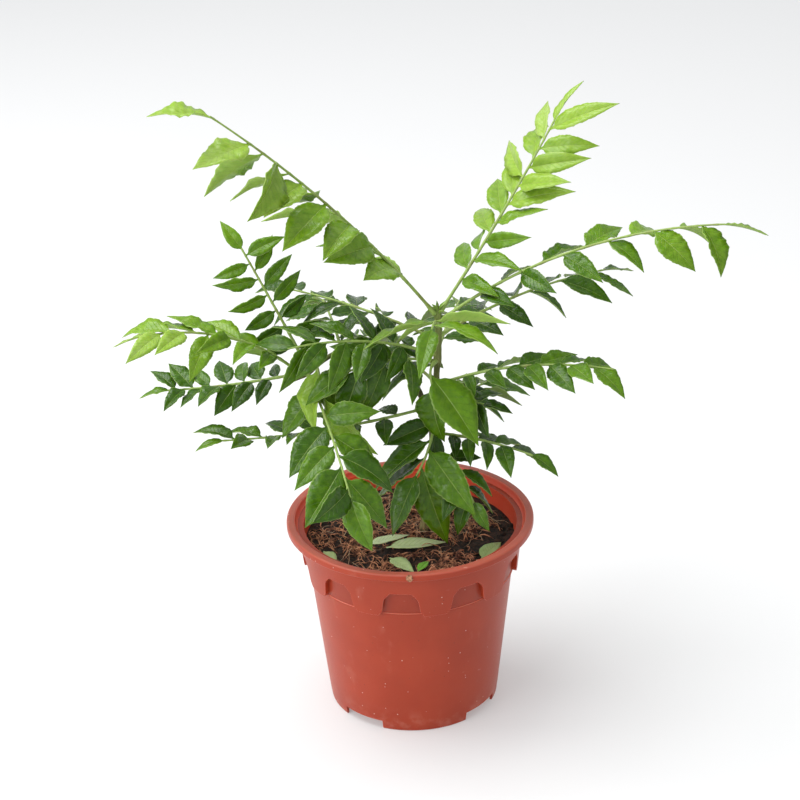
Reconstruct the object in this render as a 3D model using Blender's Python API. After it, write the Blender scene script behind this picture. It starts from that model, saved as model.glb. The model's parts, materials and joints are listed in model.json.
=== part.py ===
"""A young curry leaf plant in its plastic nursery pot, in metres, with +Z up.

The origin is on the pot's axis, on the surface that it stands on. +X is to the right
and -Y is towards whoever looks at the plant's front.
"""

import math
import random
from collections import namedtuple

import bmesh
import bpy
import numpy as np
from mathutils import Matrix, Vector
from mathutils.bvhtree import BVHTree

MM = 0.001

# Driving dimensions of the pot
RIM_RADIUS = 0.0825
POT_HEIGHT = 0.134
FOOT_RADIUS = 0.0572
BODY_TOP_RADIUS = 0.0724
FOOT_BEVEL = 0.0012
WALL = 0.0016
LIP_HEIGHT = 0.005
LIP_WIDTH = 0.0058
LIP_ROUND = 0.0014
LIP_CORNER = 0.0008
STEP_TOP = 0.0034
STEP_DROP = 0.0011
STEP_WIDTH = 0.0034
STEP_BOTTOM = 0.0088
DRAFT = 0.002
CHANNEL_DRAFT = 0.0006
COLLAR_BEVEL = 0.0006
COLLAR_PROUD = 0.0036
COLLAR_BOTTOM = 0.097
WINDOW_TOP = 0.115
WINDOW_FLOOR_PROUD = 0.00025
WINDOW_COUNT = 10
WINDOW_TURN = -6.0
FOOT_HEIGHT = 0.007
NOTCH_COUNT = 4
NOTCH_WIDTH_DEG = 31.0
NOTCH_TURN = -38.0
PAD_RADIUS = 0.030
DRAIN_RADIUS = 0.004
DRAIN_COUNT = 8
POT_SIDES = 48

# Driving dimensions of the soil and the stems
SOIL_LEVEL = 0.1175
SOIL_EDGE_DROP = 0.004
SOIL_SINK = 0.040
GAP = 0.0004
SOIL_SIDE_GAP = 0.0006
STEM_SIDES = 8

# Driving dimensions of the foliage
BLADE_THICKNESS = 0.0007
RACHIS_ROOT_RADIUS = 0.0011
RACHIS_TIP_RADIUS = 0.0007
RACHIS_SIDES = 4
RACHIS_STEPS = 6
LEAFLET_STALK = 0.0006
STALK_SHARE = 0.08
CLEARANCE = 0.0016
BARE_SHARE = 0.16

COLOURS = {
    "pot_plastic": ((0.50, 0.085, 0.045), 0.42),
    "soil": ((0.055, 0.026, 0.014), 0.95),
    "bark": ((0.22, 0.20, 0.09), 0.75),
    "leaf": ((0.085, 0.22, 0.022), 0.40),
    "young_leaf": ((0.26, 0.42, 0.05), 0.40),
    "fallen_leaf": ((0.36, 0.44, 0.24), 0.60),
}

Stem = namedtuple("Stem", "name points root_radius tip_radius")
Sprig = namedtuple(
    "Sprig",
    "name stem at azimuth rise sag sweep length count blade slim spread hang roll bare_tip "
    "colour",
)
Leaflet = namedtuple("Leaflet", "root along across face length width curl fold")
Fallen = namedtuple("Fallen", "x y azimuth tilt length width curl fold")

STEMS = (
    Stem(
        "main_stem",
        (
            (0.006, 0.003, SOIL_LEVEL - SOIL_SINK),
            (0.009, 0.007, SOIL_LEVEL),
            (0.0155, 0.012, 0.165),
            (0.017, 0.012, 0.195),
            (0.021, 0.012, 0.248),
            (0.0214, 0.012, 0.273),
        ),
        0.0032,
        0.0021,
    ),
    Stem(
        "side_stem",
        (
            (0.024, 0.034, SOIL_LEVEL - SOIL_SINK),
            (0.022, 0.032, SOIL_LEVEL),
            (0.019, 0.033, 0.165),
            (0.007, 0.033, 0.212),
            (-0.015, 0.028, 0.242),
            (-0.043, 0.018, 0.246),
            (-0.068, 0.010, 0.233),
        ),
        0.0029,
        0.0018,
    ),
)

# Lengths are in millimetres and angles in degrees. Azimuth turns from +X towards +Y,
# rise is above the horizon, and sag and sweep are how far the sprig bends down and
# round from its root to its tip.
#   name, stem, at, azimuth, rise, sag, sweep, length, count, blade, slim, spread, hang,
#   roll, bare_tip, colour
SPRIGS = (
    Sprig("crown_left", 0, 0.985, 200, 54, 15, 0, 204, 15, 46, 0.54, 32, 0.9, -8, 0.10, "leaf"),
    Sprig("crown_upright", 0, 0.995, 25, 51, -2, 10, 140, 18, 44, 0.33, 54, 0.1, 0, 0, "young_leaf"),
    Sprig("crown_right", 0, 0.963, 350, 39, 36, 0, 194, 12, 37, 0.46, 42, 0.3, 15, 0, "leaf"),
    Sprig("crown_back", 0, 0.899, 26, 20, 22, 0, 125, 10, 35, 0.47, 55, 0.2, 0, 0, "leaf"),
    Sprig("crown_front", 0, 0.942, 262, 40, 48, 0, 34, 5, 48, 0.36, 86, 0.0, 6, 0, "young_leaf"),
    Sprig("crown_dark", 0, 0.878, 158, 20, 16, 0, 105, 10, 35, 0.42, 55, 0.1, 0, 0, "leaf"),
    Sprig("mid_right", 0, 0.674, 342, 25, 29, 0, 118, 15, 28, 0.46, 44, 0.1, 10, 0, "leaf"),
    Sprig("mid_left", 0, 0.813, 197, 26, 32, 0, 100, 14, 34, 0.42, 55, 0.1, -38, 0, "leaf"),
    Sprig("mid_front", 0, 0.792, 238, -6, 52, 62, 24, 3, 58, 0.56, 52, 0.3, 0, 0, "leaf"),
    Sprig("mid_low", 0, 0.781, 206, 22, 34, 0, 62, 7, 45, 0.42, 48, 0.5, -20, 0, "leaf"),
    Sprig("mid_dark", 0, 0.621, 328, 8, 10, 0, 34, 6, 28, 0.50, 55, 0.0, 10, 0, "leaf"),
    Sprig("low_right", 0, 0.45, 335, 4, 16, 0, 68, 11, 29, 0.42, 50, 0.1, 0, 0, "leaf"),
    Sprig("low_front", 0, 0.573, 268, -38, 8, -45, 46, 7, 55, 0.42, 60, 0.6, -8, 0, "leaf"),
    Sprig("low_corner", 0, 0.385, 297, 0, 40, 0, 56, 8, 31, 0.45, 55, 0.3, 10, 0, "leaf"),
    Sprig("low_left", 0, 0.578, 195, -8, -14, 0, 140, 14, 30, 0.42, 60, -0.35, -4, 0, "leaf"),
    Sprig("low_small", 0, 0.171, 300, 30, 40, 0, 22, 5, 16, 0.45, 55, 0.2, 0, 0, "leaf"),
    Sprig("side_bright", 1, 0.945, 282, 10, 84, 0, 38, 5, 50, 0.44, 14, 1.1, 0, 0, "young_leaf"),
    Sprig("side_up", 1, 0.97, 165, 64, 2, 0, 90, 14, 28, 0.38, 74, 0.3, -60, 0, "leaf"),
    Sprig("side_pale", 1, 1.00, 203, 48, 48, 0, 112, 13, 36, 0.40, 42, -0.1, -5, 0, "young_leaf"),
    Sprig("side_left", 1, 0.975, 172, -14, -14, 12, 88, 14, 26, 0.50, 62, -0.25, -22, 0, "leaf"),
    Sprig("side_front", 1, 0.98, 287, -14, 26, 0, 106, 12, 42, 0.50, 58, 0.2, 0, 0, "leaf"),
    Sprig("side_back", 1, 0.84, 100, 12, 20, 0, 80, 9, 32, 0.45, 55, 0.1, 0, 0, "leaf"),
    Sprig("back_high", 0, 0.835, 80, 2, 12, 0, 100, 10, 36, 0.45, 55, 0.1, 0, 0, "leaf"),
    Sprig("back_mid", 0, 0.685, 118, 6, 20, 0, 110, 10, 36, 0.45, 55, 0.1, 0, 0, "leaf"),
    Sprig("back_low", 0, 0.535, 60, 0, 14, 0, 84, 9, 35, 0.45, 55, 0.1, 0, 0, "leaf"),
)


# Leaves lying on the soil, in millimetres and degrees, each from its stalk's place
FALLEN = (
    Fallen(-22, -23, 13, -1, 47, 15, 4, 14),
    Fallen(-14, -31, 311, 2, 24, 11, 10, 10),
    Fallen(4, -49, 62, 4, 16, 6, 12, 24),
    Fallen(46, -33, 58, 8, 27, 12, 18, 10),
    Fallen(-58, -16, 294, 6, 21, 10, 10, 6),
)


def clear_scene():
    for thing in list(bpy.data.objects):
        bpy.data.objects.remove(thing)


def material(name):
    """The material of that name, made on first use."""
    found = bpy.data.materials.get(name)
    if found:
        return found
    colour, roughness = COLOURS[name]
    made = bpy.data.materials.new(name)
    made.use_nodes = True
    made.diffuse_color = (*colour, 1.0)
    shader = made.node_tree.nodes["Principled BSDF"]
    shader.inputs["Base Color"].default_value = (*colour, 1.0)
    shader.inputs["Roughness"].default_value = roughness
    shader.inputs["Metallic"].default_value = 0.0
    return made


def points_and_faces(shell):
    """A bmesh's points and faces as lists, its faces turned outwards. Frees the bmesh."""
    bmesh.ops.recalc_face_normals(shell, faces=shell.faces)
    shell.verts.index_update()
    points = [vert.co.copy() for vert in shell.verts]
    faces = [[vert.index for vert in face.verts] for face in shell.faces]
    shell.free()
    return points, faces


def add_object(name, points, faces, finish):
    """A mesh object in the scene from points and faces."""
    mesh = bpy.data.meshes.new(name)
    mesh.from_pydata([tuple(p) for p in points], [], faces)
    mesh.materials.append(material(finish))
    made = bpy.data.objects.new(name, mesh)
    bpy.context.scene.collection.objects.link(made)
    return made


def attach(thing, origin, parent, parent_origin):
    """Gives an object its origin at a point and hangs it on its parent."""
    thing.data.transform(Matrix.Translation(-origin))
    thing.parent = parent
    thing.location = origin - parent_origin


def apply_modifiers(thing):
    """Makes the shape that the modifiers give the object's own mesh."""
    graph = bpy.context.evaluated_depsgraph_get()
    shaped = bpy.data.meshes.new_from_object(thing.evaluated_get(graph))
    thing.modifiers.clear()
    thing.data = shaped


def join_or_cut(thing, tools, operation, solver="EXACT"):
    """One Boolean of the object with every tool, applied. The tools are then removed."""
    group = bpy.data.collections.new(thing.name + "_tools")
    bpy.context.scene.collection.children.link(group)
    for tool in tools:
        for home in list(tool.users_collection):
            home.objects.unlink(tool)
        group.objects.link(tool)
        tool.hide_render = True
        tool.display_type = "WIRE"
    boolean = thing.modifiers.new(operation.lower(), "BOOLEAN")
    boolean.operation = operation
    boolean.operand_type = "COLLECTION"
    boolean.collection = group
    boolean.solver = solver
    apply_modifiers(thing)
    for tool in tools:
        bpy.data.objects.remove(tool)
    bpy.data.collections.remove(group)


def smooth(thing, angle=35.0):
    thing.data.shade_smooth()
    thing.data.set_sharp_from_angle(angle=math.radians(angle))


# Turned shapes


def turned(profile, sides):
    """Points and faces of an outline of (radius, height) points, spun about Z."""
    shell = bmesh.new()
    line = [shell.verts.new((radius, 0.0, height)) for radius, height in profile]
    edges = [shell.edges.new(pair) for pair in zip(line, line[1:])]
    bmesh.ops.spin(
        shell,
        geom=line + edges,
        cent=(0, 0, 0),
        axis=(0, 0, 1),
        angle=2 * math.pi,
        steps=sides,
        use_merge=True,
    )
    bmesh.ops.remove_doubles(shell, verts=shell.verts, dist=1e-6)
    return points_and_faces(shell)


def body_radius(height):
    """Outer radius of the pot's tapered body."""
    share = height / POT_HEIGHT
    return FOOT_RADIUS + (BODY_TOP_RADIUS - FOOT_RADIUS) * share


def pot_outline():
    """The pot's section, from the middle of its underside round to the middle of its floor."""
    collar_top = POT_HEIGHT - LIP_HEIGHT
    inside_lip = RIM_RADIUS - LIP_WIDTH
    floor = FOOT_HEIGHT + WALL
    wall_top = POT_HEIGHT - STEP_BOTTOM - LIP_ROUND
    channel_outer = body_radius(FOOT_HEIGHT) - WALL * 1.5
    return [
        (0.0, 0.0),
        (PAD_RADIUS, 0.0),
        (PAD_RADIUS + DRAFT, FOOT_HEIGHT),
        (channel_outer, FOOT_HEIGHT),
        (channel_outer - CHANNEL_DRAFT, 0.0),
        (FOOT_RADIUS - FOOT_BEVEL, 0.0),
        (body_radius(FOOT_BEVEL), FOOT_BEVEL),
        (body_radius(FOOT_HEIGHT), FOOT_HEIGHT),
        (body_radius(COLLAR_BOTTOM), COLLAR_BOTTOM),
        (body_radius(COLLAR_BOTTOM) + COLLAR_PROUD, COLLAR_BOTTOM + COLLAR_BEVEL),
        (body_radius(collar_top) + COLLAR_PROUD, collar_top),
        (RIM_RADIUS - LIP_CORNER, collar_top),
        (RIM_RADIUS, collar_top + LIP_CORNER),
        (RIM_RADIUS, POT_HEIGHT - LIP_ROUND),
        (RIM_RADIUS - LIP_ROUND, POT_HEIGHT),
        (inside_lip + LIP_ROUND, POT_HEIGHT),
        (inside_lip, POT_HEIGHT - LIP_ROUND),
        (inside_lip - LIP_CORNER, POT_HEIGHT - STEP_TOP),
        (inside_lip - STEP_WIDTH, POT_HEIGHT - STEP_TOP - STEP_DROP),
        (inside_lip - STEP_WIDTH - CHANNEL_DRAFT, POT_HEIGHT - STEP_BOTTOM),
        (inner_radius(wall_top), wall_top),
        (inner_radius(floor), floor),
        (PAD_RADIUS - WALL + DRAFT, floor),
        (PAD_RADIUS - WALL, WALL),
        (0.0, WALL),
    ]


def inner_radius(height):
    return body_radius(height) - WALL


def window_top(turn):
    """Height of a collar window's upper edge at so many degrees from its middle."""
    if turn <= 5.5:
        return WINDOW_TOP
    if turn <= 8.8:
        return WINDOW_TOP - 0.005 * (turn - 5.5) / 3.3
    if turn <= 10.0:
        return WINDOW_TOP - 0.005 - 0.010 * (turn - 8.8) / 1.2
    return COLLAR_BOTTOM + 0.003 - 0.004 * (turn - 10.0) / 2.5


def window_cutter(index):
    """A recess in the collar that leaves the pot's own wall, open at its lower edge."""
    middle = math.radians(WINDOW_TURN - 90.0 + index * 360.0 / WINDOW_COUNT)
    shell = bmesh.new()
    columns = []
    for turn in (-12.5, -10.0, -8.8, -5.5, 0.0, 5.5, 8.8, 10.0, 12.5):
        direction = middle + math.radians(turn)
        column = []
        for height in (COLLAR_BOTTOM - 0.003, window_top(abs(turn))):
            radius = body_radius(height) + WINDOW_FLOOR_PROUD
            x, y = radius * math.cos(direction), radius * math.sin(direction)
            column.append(shell.verts.new((x, y, height)))
        columns.append(column)
    floor = [shell.faces.new((a[0], b[0], b[1], a[1])) for a, b in zip(columns, columns[1:])]
    grown = bmesh.ops.extrude_face_region(shell, geom=floor)["geom"]
    for vert in [part for part in grown if isinstance(part, bmesh.types.BMVert)]:
        vert.co.xy *= (RIM_RADIUS + 0.004) / vert.co.xy.length
    return add_object(f"window_{index}", *points_and_faces(shell), "pot_plastic")


def notch_cutter(index):
    """A wedge that takes a gap out of the foot ring, where water runs out."""
    start = NOTCH_TURN - 90.0 + index * 360.0 / NOTCH_COUNT - NOTCH_WIDTH_DEG / 2
    near, far = body_radius(FOOT_HEIGHT) - WALL * 1.5 - 0.006, RIM_RADIUS
    low, high = -0.004, FOOT_HEIGHT - 0.0006
    shell = bmesh.new()
    corners = ((near, low), (far, low), (far, high), (near, high))
    section = shell.faces.new([shell.verts.new((x, 0.0, z)) for x, z in corners])
    bmesh.ops.spin(
        shell,
        geom=[section, *section.edges, *section.verts],
        cent=(0, 0, 0),
        axis=(0, 0, 1),
        angle=math.radians(NOTCH_WIDTH_DEG),
        steps=4,
    )
    turn = Matrix.Rotation(math.radians(start), 3, "Z")
    bmesh.ops.rotate(shell, verts=shell.verts, cent=(0, 0, 0), matrix=turn)
    return add_object(f"notch_{index}", *points_and_faces(shell), "pot_plastic")


def drain_cutter(index):
    """One of the holes through the raised ring of the floor."""
    turn = math.radians(NOTCH_TURN - 90.0 + index * 360.0 / DRAIN_COUNT)
    out = (PAD_RADIUS + body_radius(FOOT_HEIGHT)) / 2
    centre = Vector((out * math.cos(turn), out * math.sin(turn), FOOT_HEIGHT + WALL / 2))
    shell = bmesh.new()
    bmesh.ops.create_cone(
        shell,
        cap_ends=True,
        segments=10,
        radius1=DRAIN_RADIUS,
        radius2=DRAIN_RADIUS,
        depth=WALL + 0.004,
        matrix=Matrix.Translation(centre),
    )
    return add_object(f"drain_{index}", *points_and_faces(shell), "pot_plastic")


def make_pot():
    pot = add_object("pot", *turned(pot_outline(), POT_SIDES), "pot_plastic")
    windows = [window_cutter(index) for index in range(WINDOW_COUNT)]
    notches = [notch_cutter(index) for index in range(NOTCH_COUNT)]
    drains = [drain_cutter(index) for index in range(DRAIN_COUNT)]
    join_or_cut(pot, windows + notches + drains, "DIFFERENCE")
    smooth(pot)
    return pot


# Soil


def soil_height(x, y):
    """The uneven top of the potting mix, a little higher round the stems."""
    ripple = 0.0011 * math.sin(210 * x + 1.0) * math.cos(185 * y - 0.6)
    crumbs = 0.0007 * math.sin(520 * x + 340 * y) * math.sin(430 * y - 260 * x + 2.0)
    mound = 0.0020 * math.exp(-((x - 0.009) ** 2 + (y - 0.007) ** 2) / 0.0006)
    return SOIL_LEVEL - 0.0012 + ripple + crumbs + mound


def soil_body():
    """The root ball: it fills the pot, and its top is uneven."""
    sides, rings = 30, 7
    low_pad, low_floor = WALL + GAP, FOOT_HEIGHT + WALL + GAP
    pad = PAD_RADIUS - WALL - SOIL_SIDE_GAP
    edge_level = SOIL_LEVEL - SOIL_EDGE_DROP
    edge = inner_radius(edge_level) - SOIL_SIDE_GAP
    outline = [
        (0.0, low_pad),
        (pad, low_pad),
        (pad + 0.002, low_floor),
        (inner_radius(low_floor) - SOIL_SIDE_GAP, low_floor),
        (edge, edge_level),
    ]
    outline += [(edge * ring / rings, SOIL_LEVEL) for ring in range(rings - 1, -1, -1)]
    points, faces = turned(outline, sides)
    for point in points:
        if point.z > edge_level + 0.001:
            point.z = soil_height(point.x, point.y)
    return points, faces


def make_soil():
    soil = add_object("soil", *soil_body(), "soil")
    sockets = []
    for stem in STEMS:
        entry = smooth_line(stem.points, 24)[:10]
        widened = [stem.root_radius + GAP] * len(entry)
        below = entry[0] - (entry[1] - entry[0]).normalized() * GAP
        line = [below] + entry[1:]
        points, faces = tube(line, widened, STEM_SIDES)
        sockets.append(add_object(stem.name + "_socket", points, faces, "soil"))
    join_or_cut(soil, sockets, "DIFFERENCE")
    smooth(soil, 60.0)
    return soil


# Stems and rachises


def smooth_line(points, count):
    """Points spread evenly along a smooth curve through the given ones."""
    given = [Vector(p) for p in points]
    ends = [2 * given[0] - given[1], *given, 2 * given[-1] - given[-2]]
    fine = []
    for a, b, c, d in zip(ends, ends[1:], ends[2:], ends[3:]):
        for step in range(12):
            t = step / 12
            fine.append(
                0.5
                * (
                    2 * b
                    + (c - a) * t
                    + (2 * a - 5 * b + 4 * c - d) * t**2
                    + (3 * b - a - 3 * c + d) * t**3
                )
            )
    fine.append(given[-1])
    lengths = np.cumsum([0.0] + [(q - p).length for p, q in zip(fine, fine[1:])])
    wanted = np.linspace(0.0, lengths[-1], count)
    array = np.array([tuple(p) for p in fine])
    return [Vector([np.interp(w, lengths, array[:, axis]) for axis in range(3)]) for w in wanted]


def tube(line, radii, sides):
    """A closed tube along a line of points, with flat ends."""
    points, faces = [], []
    side = None
    for index, point in enumerate(line):
        ahead = line[min(index + 1, len(line) - 1)] - line[max(index - 1, 0)]
        ahead.normalize()
        if side is None:
            side = ahead.cross(Vector((0.31, 0.95, 0.05))).normalized()
        side = (side - side.dot(ahead) * ahead).normalized()
        other = ahead.cross(side)
        for step in range(sides):
            turn = 2 * math.pi * step / sides
            points.append(point + radii[index] * (math.cos(turn) * side + math.sin(turn) * other))
    for ring in range(len(line) - 1):
        for step in range(sides):
            after = (step + 1) % sides
            a, b = ring * sides, (ring + 1) * sides
            faces.append([a + step, a + after, b + after, b + step])
    faces.append(list(range(sides))[::-1])
    top = (len(line) - 1) * sides
    faces.append([top + step for step in range(sides)])
    return points, faces


def stem_radius(stem, share):
    return stem.root_radius + (stem.tip_radius - stem.root_radius) * share


def stem_tube(stem):
    count = 18
    line = smooth_line(stem.points, count)
    radii = [stem_radius(stem, index / (count - 1)) for index in range(count)]
    return tube(line, radii, STEM_SIDES)


def above_soil(stem, at):
    """Where a sprig leaves its stem: 0 is at the soil and 1 at the stem's tip."""
    line = smooth_line(stem.points, 80)
    bare = [p for p in line if p.z >= SOIL_LEVEL]
    place = at * (len(bare) - 1)
    low = min(int(place), len(bare) - 2)
    point = bare[low].lerp(bare[low + 1], place - low)
    ahead = (bare[low + 1] - bare[low]).normalized()
    return point, ahead


def heading(azimuth, rise):
    """The direction at so many degrees round from +X and above the horizon."""
    turn, lift = math.radians(azimuth), math.radians(rise)
    return Vector(
        (math.cos(lift) * math.cos(turn), math.cos(lift) * math.sin(turn), math.sin(lift))
    )


def rachis_line(sprig):
    """The sprig's stalk: its points, and at each one its direction and upper side."""
    stem = STEMS[sprig.stem]
    centre, stem_ahead = above_soil(stem, sprig.at)
    first = heading(sprig.azimuth, sprig.rise)
    along_stem = abs(first.dot(stem_ahead))
    off_stem = max(math.sqrt(1 - along_stem**2), 0.35)
    clear = (stem_radius(stem, sprig.at) + GAP + RACHIS_ROOT_RADIUS * along_stem) / off_stem
    point = centre + first * clear
    line, aheads, uppers = [point], [], []
    fine = 24
    stride = MM * sprig.length / fine
    for step in range(fine + 1):
        share = step / fine
        azimuth = sprig.azimuth + sprig.sweep * share
        rise = sprig.rise - sprig.sag * share
        ahead = heading(azimuth, rise)
        upper = heading(azimuth, rise + 90.0)
        upper = Matrix.Rotation(math.radians(sprig.roll), 3, ahead) @ upper
        aheads.append(ahead)
        uppers.append(upper)
        if step < fine:
            line.append(line[-1] + ahead * stride)
    return line, aheads, uppers


def rachis_tube(sprig):
    line = smooth_line(rachis_line(sprig)[0], RACHIS_STEPS + 1)
    thinning = (RACHIS_ROOT_RADIUS - RACHIS_TIP_RADIUS) / RACHIS_STEPS
    radii = [RACHIS_ROOT_RADIUS - thinning * step for step in range(RACHIS_STEPS + 1)]
    return tube(line, radii, RACHIS_SIDES)


# Leaflets


def half_outline(share):
    """Half width of a leaflet's blade as a share of its widest, from stalk to tip."""
    if share <= STALK_SHARE:
        return 0.0
    t = (share - STALK_SHARE) / (1 - STALK_SHARE)
    widest = 0.37
    shape = t**0.62 * (1 - t) ** 1.05
    return shape / (widest**0.62 * (1 - widest) ** 1.05)


def leaflet_point(leaflet, share, across):
    """A point of a leaflet's upper face, and the face's direction there.

    share runs from the stalk to the tip and across from -1 to 1 over the blade.
    """
    bend = leaflet.curl * share
    if abs(leaflet.curl) < 0.01:
        forward, drop = share, 0.0
    else:
        forward = math.sin(bend) / leaflet.curl
        drop = (1 - math.cos(bend)) / leaflet.curl
    face = math.cos(bend) * leaflet.face + math.sin(bend) * leaflet.along
    half = max(half_outline(share) * leaflet.width / 2, LEAFLET_STALK)
    point = leaflet.root + leaflet.length * (forward * leaflet.along - drop * leaflet.face)
    point = point + half * across * math.cos(leaflet.fold) * leaflet.across
    return point + half * abs(across) * math.sin(leaflet.fold) * face, face


def leaflet_solid(leaflet, thickness=BLADE_THICKNESS):
    """A leaflet as a thin closed solid: a folded, curling blade on its short stalk."""
    stations = (0.0, 0.34, 0.70)
    upper, lower, rows = [], [], []
    for share in stations:
        row = []
        for across in (-1.0, 0.0, 1.0):
            if share == 0.0 and across == 0.0:
                continue
            point, face = leaflet_point(leaflet, share, across)
            row.append(len(upper))
            upper.append(point + face * thickness / 2)
            lower.append(point - face * thickness / 2)
        rows.append(row)
    point, face = leaflet_point(leaflet, 1.0, 0.0)
    tip = len(upper)
    upper.append(point + face * thickness / 2)
    lower.append(point - face * thickness / 2)
    skin = []
    left, right = rows[0]
    after = rows[1]
    skin.append((left, after[1], after[0]))
    skin.append((left, right, after[1]))
    skin.append((right, after[2], after[1]))
    for low, high in zip(rows[1:], rows[2:]):
        for k in (0, 1):
            skin.append((low[k], low[k + 1], high[k + 1]))
            skin.append((low[k], high[k + 1], high[k]))
    last = rows[-1]
    skin.append((last[0], last[1], tip))
    skin.append((last[1], last[2], tip))
    under = len(upper)
    faces = [list(face) for face in skin]
    faces += [[under + v for v in reversed(face)] for face in skin]
    edge = [row[0] for row in rows] + [tip] + [row[-1] for row in reversed(rows)]
    for a, b in zip(edge, edge[1:] + edge[:1]):
        faces.append([a, under + b, under + a])
        faces.append([a, b, under + b])
    return upper + lower, [face[::-1] for face in faces]


def leaflet_places(sprig):
    """The leaflets of a sprig before they are moved clear of anything."""
    draw = random.Random(sprig.name)
    line, aheads, uppers = rachis_line(sprig)
    last = len(line) - 1
    places = []
    for index in range(sprig.count):
        at_end = index == sprig.count - 1
        share = index / (sprig.count - 1)
        place = (BARE_SHARE + (1 - BARE_SHARE - sprig.bare_tip) * share) * last
        low = min(int(place), last - 1)
        root = line[low].lerp(line[low + 1], place - low)
        ahead, upper = aheads[low], uppers[low]
        if at_end:
            ahead, upper = aheads[-1], uppers[-1]
            root = line[-1] - ahead * 2 * MM
        side = (-1) ** index * ahead.cross(upper)
        spread = 4 if at_end else sprig.spread + 13 - 26 * share + draw.uniform(-13, 13)
        turn = math.radians(spread)
        size = 0.62 + 0.38 * math.sin(math.pi * min(0.15 + 0.62 * share, 0.5))
        if at_end:
            size = 0.80
        length = MM * sprig.blade * (size + draw.uniform(-0.12, 0.12))
        fall = sprig.hang * (0.3 if at_end else 0.3 + share) * (0.5 + draw.random())
        along = math.cos(turn) * ahead + math.sin(turn) * side + Vector((0, 0, -fall))
        along.normalize()
        curl = math.radians(draw.uniform(12, 52))
        fold = math.radians(draw.uniform(8, 26))
        tip_over = Matrix.Rotation(math.radians(draw.uniform(-28, 28)), 3, along)
        shape = (length, length * sprig.slim * draw.uniform(0.88, 1.12), curl, fold)
        places.append((root, ahead, along, tip_over @ upper, shape))
    return places


def make_leaflet(root, along, upper, size, shape):
    """A leaflet of that shape with its upper face towards the sprig's upper side."""
    length, width, curl, fold = shape
    face = (upper - upper.dot(along) * along).normalized()
    return Leaflet(root, along, face.cross(along), face, length * size, width * size, curl, fold)


# What the foliage has to keep clear of


def shape_tree(points, faces):
    return BVHTree.FromPolygons([tuple(p) for p in points], faces)


class Surroundings:
    """The shapes placed so far, each with its box, that a new one must not touch."""

    def __init__(self):
        self.trees, self.lows, self.highs = [], [], []

    def add(self, points, faces):
        corners = np.array([tuple(p) for p in points])
        self.trees.append(shape_tree(points, faces))
        self.lows.append(corners.min(axis=0))
        self.highs.append(corners.max(axis=0))

    def touches(self, points, faces, own=None):
        """Whether a shape meets any placed so far but the one with the index own."""
        corners = np.array([tuple(p) for p in points])
        low, high = corners.min(axis=0), corners.max(axis=0)
        apart = (np.array(self.lows) > high) | (np.array(self.highs) < low)
        near = np.flatnonzero(~apart.any(axis=1))
        if not len(near):
            return False
        tree = shape_tree(points, faces)
        return any(tree.overlap(self.trees[index]) for index in near if index != own)


def first_surroundings():
    """The pot, the top of the soil and the stems."""
    around = Surroundings()
    pot = [
        (FOOT_RADIUS, 0.0),
        (BODY_TOP_RADIUS + COLLAR_PROUD, COLLAR_BOTTOM),
        (RIM_RADIUS + 0.001, POT_HEIGHT - 2 * LIP_HEIGHT),
        (RIM_RADIUS + 0.001, POT_HEIGHT + 0.001),
        (RIM_RADIUS - LIP_WIDTH - 0.001, POT_HEIGHT + 0.001),
        (inner_radius(SOIL_LEVEL) - 0.001, SOIL_LEVEL),
    ]
    around.add(*turned(pot, 36))
    level = SOIL_LEVEL + 0.002
    around.add(*turned([(0.0, level), (BODY_TOP_RADIUS, level)], 24))
    for stem in STEMS:
        around.add(*stem_tube(stem))
    return around


def fallen_leaves():
    """The leaves on the soil, each lowered until it nearly touches what is below it."""
    around = Surroundings()
    around.add(*soil_body())
    for stem in STEMS:
        around.add(*stem_tube(stem))
    leaves = []
    for fallen in FALLEN:
        along = heading(fallen.azimuth, fallen.tilt)
        face = heading(fallen.azimuth, fallen.tilt + 90.0)
        level = SOIL_LEVEL + 0.014
        bends = (math.radians(fallen.curl), math.radians(fallen.fold))
        size = (MM * fallen.length, MM * fallen.width)
        while True:
            root = Vector((MM * fallen.x, MM * fallen.y, level))
            leaf = Leaflet(root, along, face.cross(along), face, *size, *bends)
            if around.touches(*leaflet_solid(leaf, BLADE_THICKNESS + 2 * GAP)):
                break
            lowest, level = leaf, level - 0.0002
        leaves.append(lowest)
        around.add(*leaflet_solid(lowest))
    return leaves


TURNS = (0, -10, 10, -20, 20, -32, 32, -45, 45)
SWINGS = (0, -10, 10, -20, 20)


def clear_leaflet(place, around, own):
    """The leaflet turned, swung or shortened until it touches nothing, or None."""
    root, ahead, along, upper, shape = place
    for size in (1.0, 0.8):
        for swing in SWINGS:
            swung = Matrix.Rotation(math.radians(swing), 3, upper) @ along
            for turn in TURNS:
                rotate = Matrix.Rotation(math.radians(turn), 3, ahead)
                leaflet = make_leaflet(root, rotate @ swung, rotate @ upper, size, shape)
                if not around.touches(*leaflet_solid(leaflet, CLEARANCE), own):
                    return leaflet
    return None


def grow():
    """Every sprig with its leaflets, and the fallen leaves: [(sprig, [leaflets])], [leaves]."""
    around = first_surroundings()
    leaves = fallen_leaves()
    for leaf in leaves:
        around.add(*leaflet_solid(leaf, CLEARANCE))
    first_rachis = len(around.trees)
    for sprig in SPRIGS:
        points, faces = rachis_tube(sprig)
        if around.touches(points, faces):
            print(f"{sprig.name}: its stalk crosses something")
        around.add(points, faces)
    grown = []
    for index, sprig in enumerate(SPRIGS):
        leaflets = []
        for place in leaflet_places(sprig):
            leaflet = clear_leaflet(place, around, first_rachis + index)
            if leaflet:
                leaflets.append(leaflet)
                around.add(*leaflet_solid(leaflet))
        grown.append((sprig, leaflets))
    return grown, leaves


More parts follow.
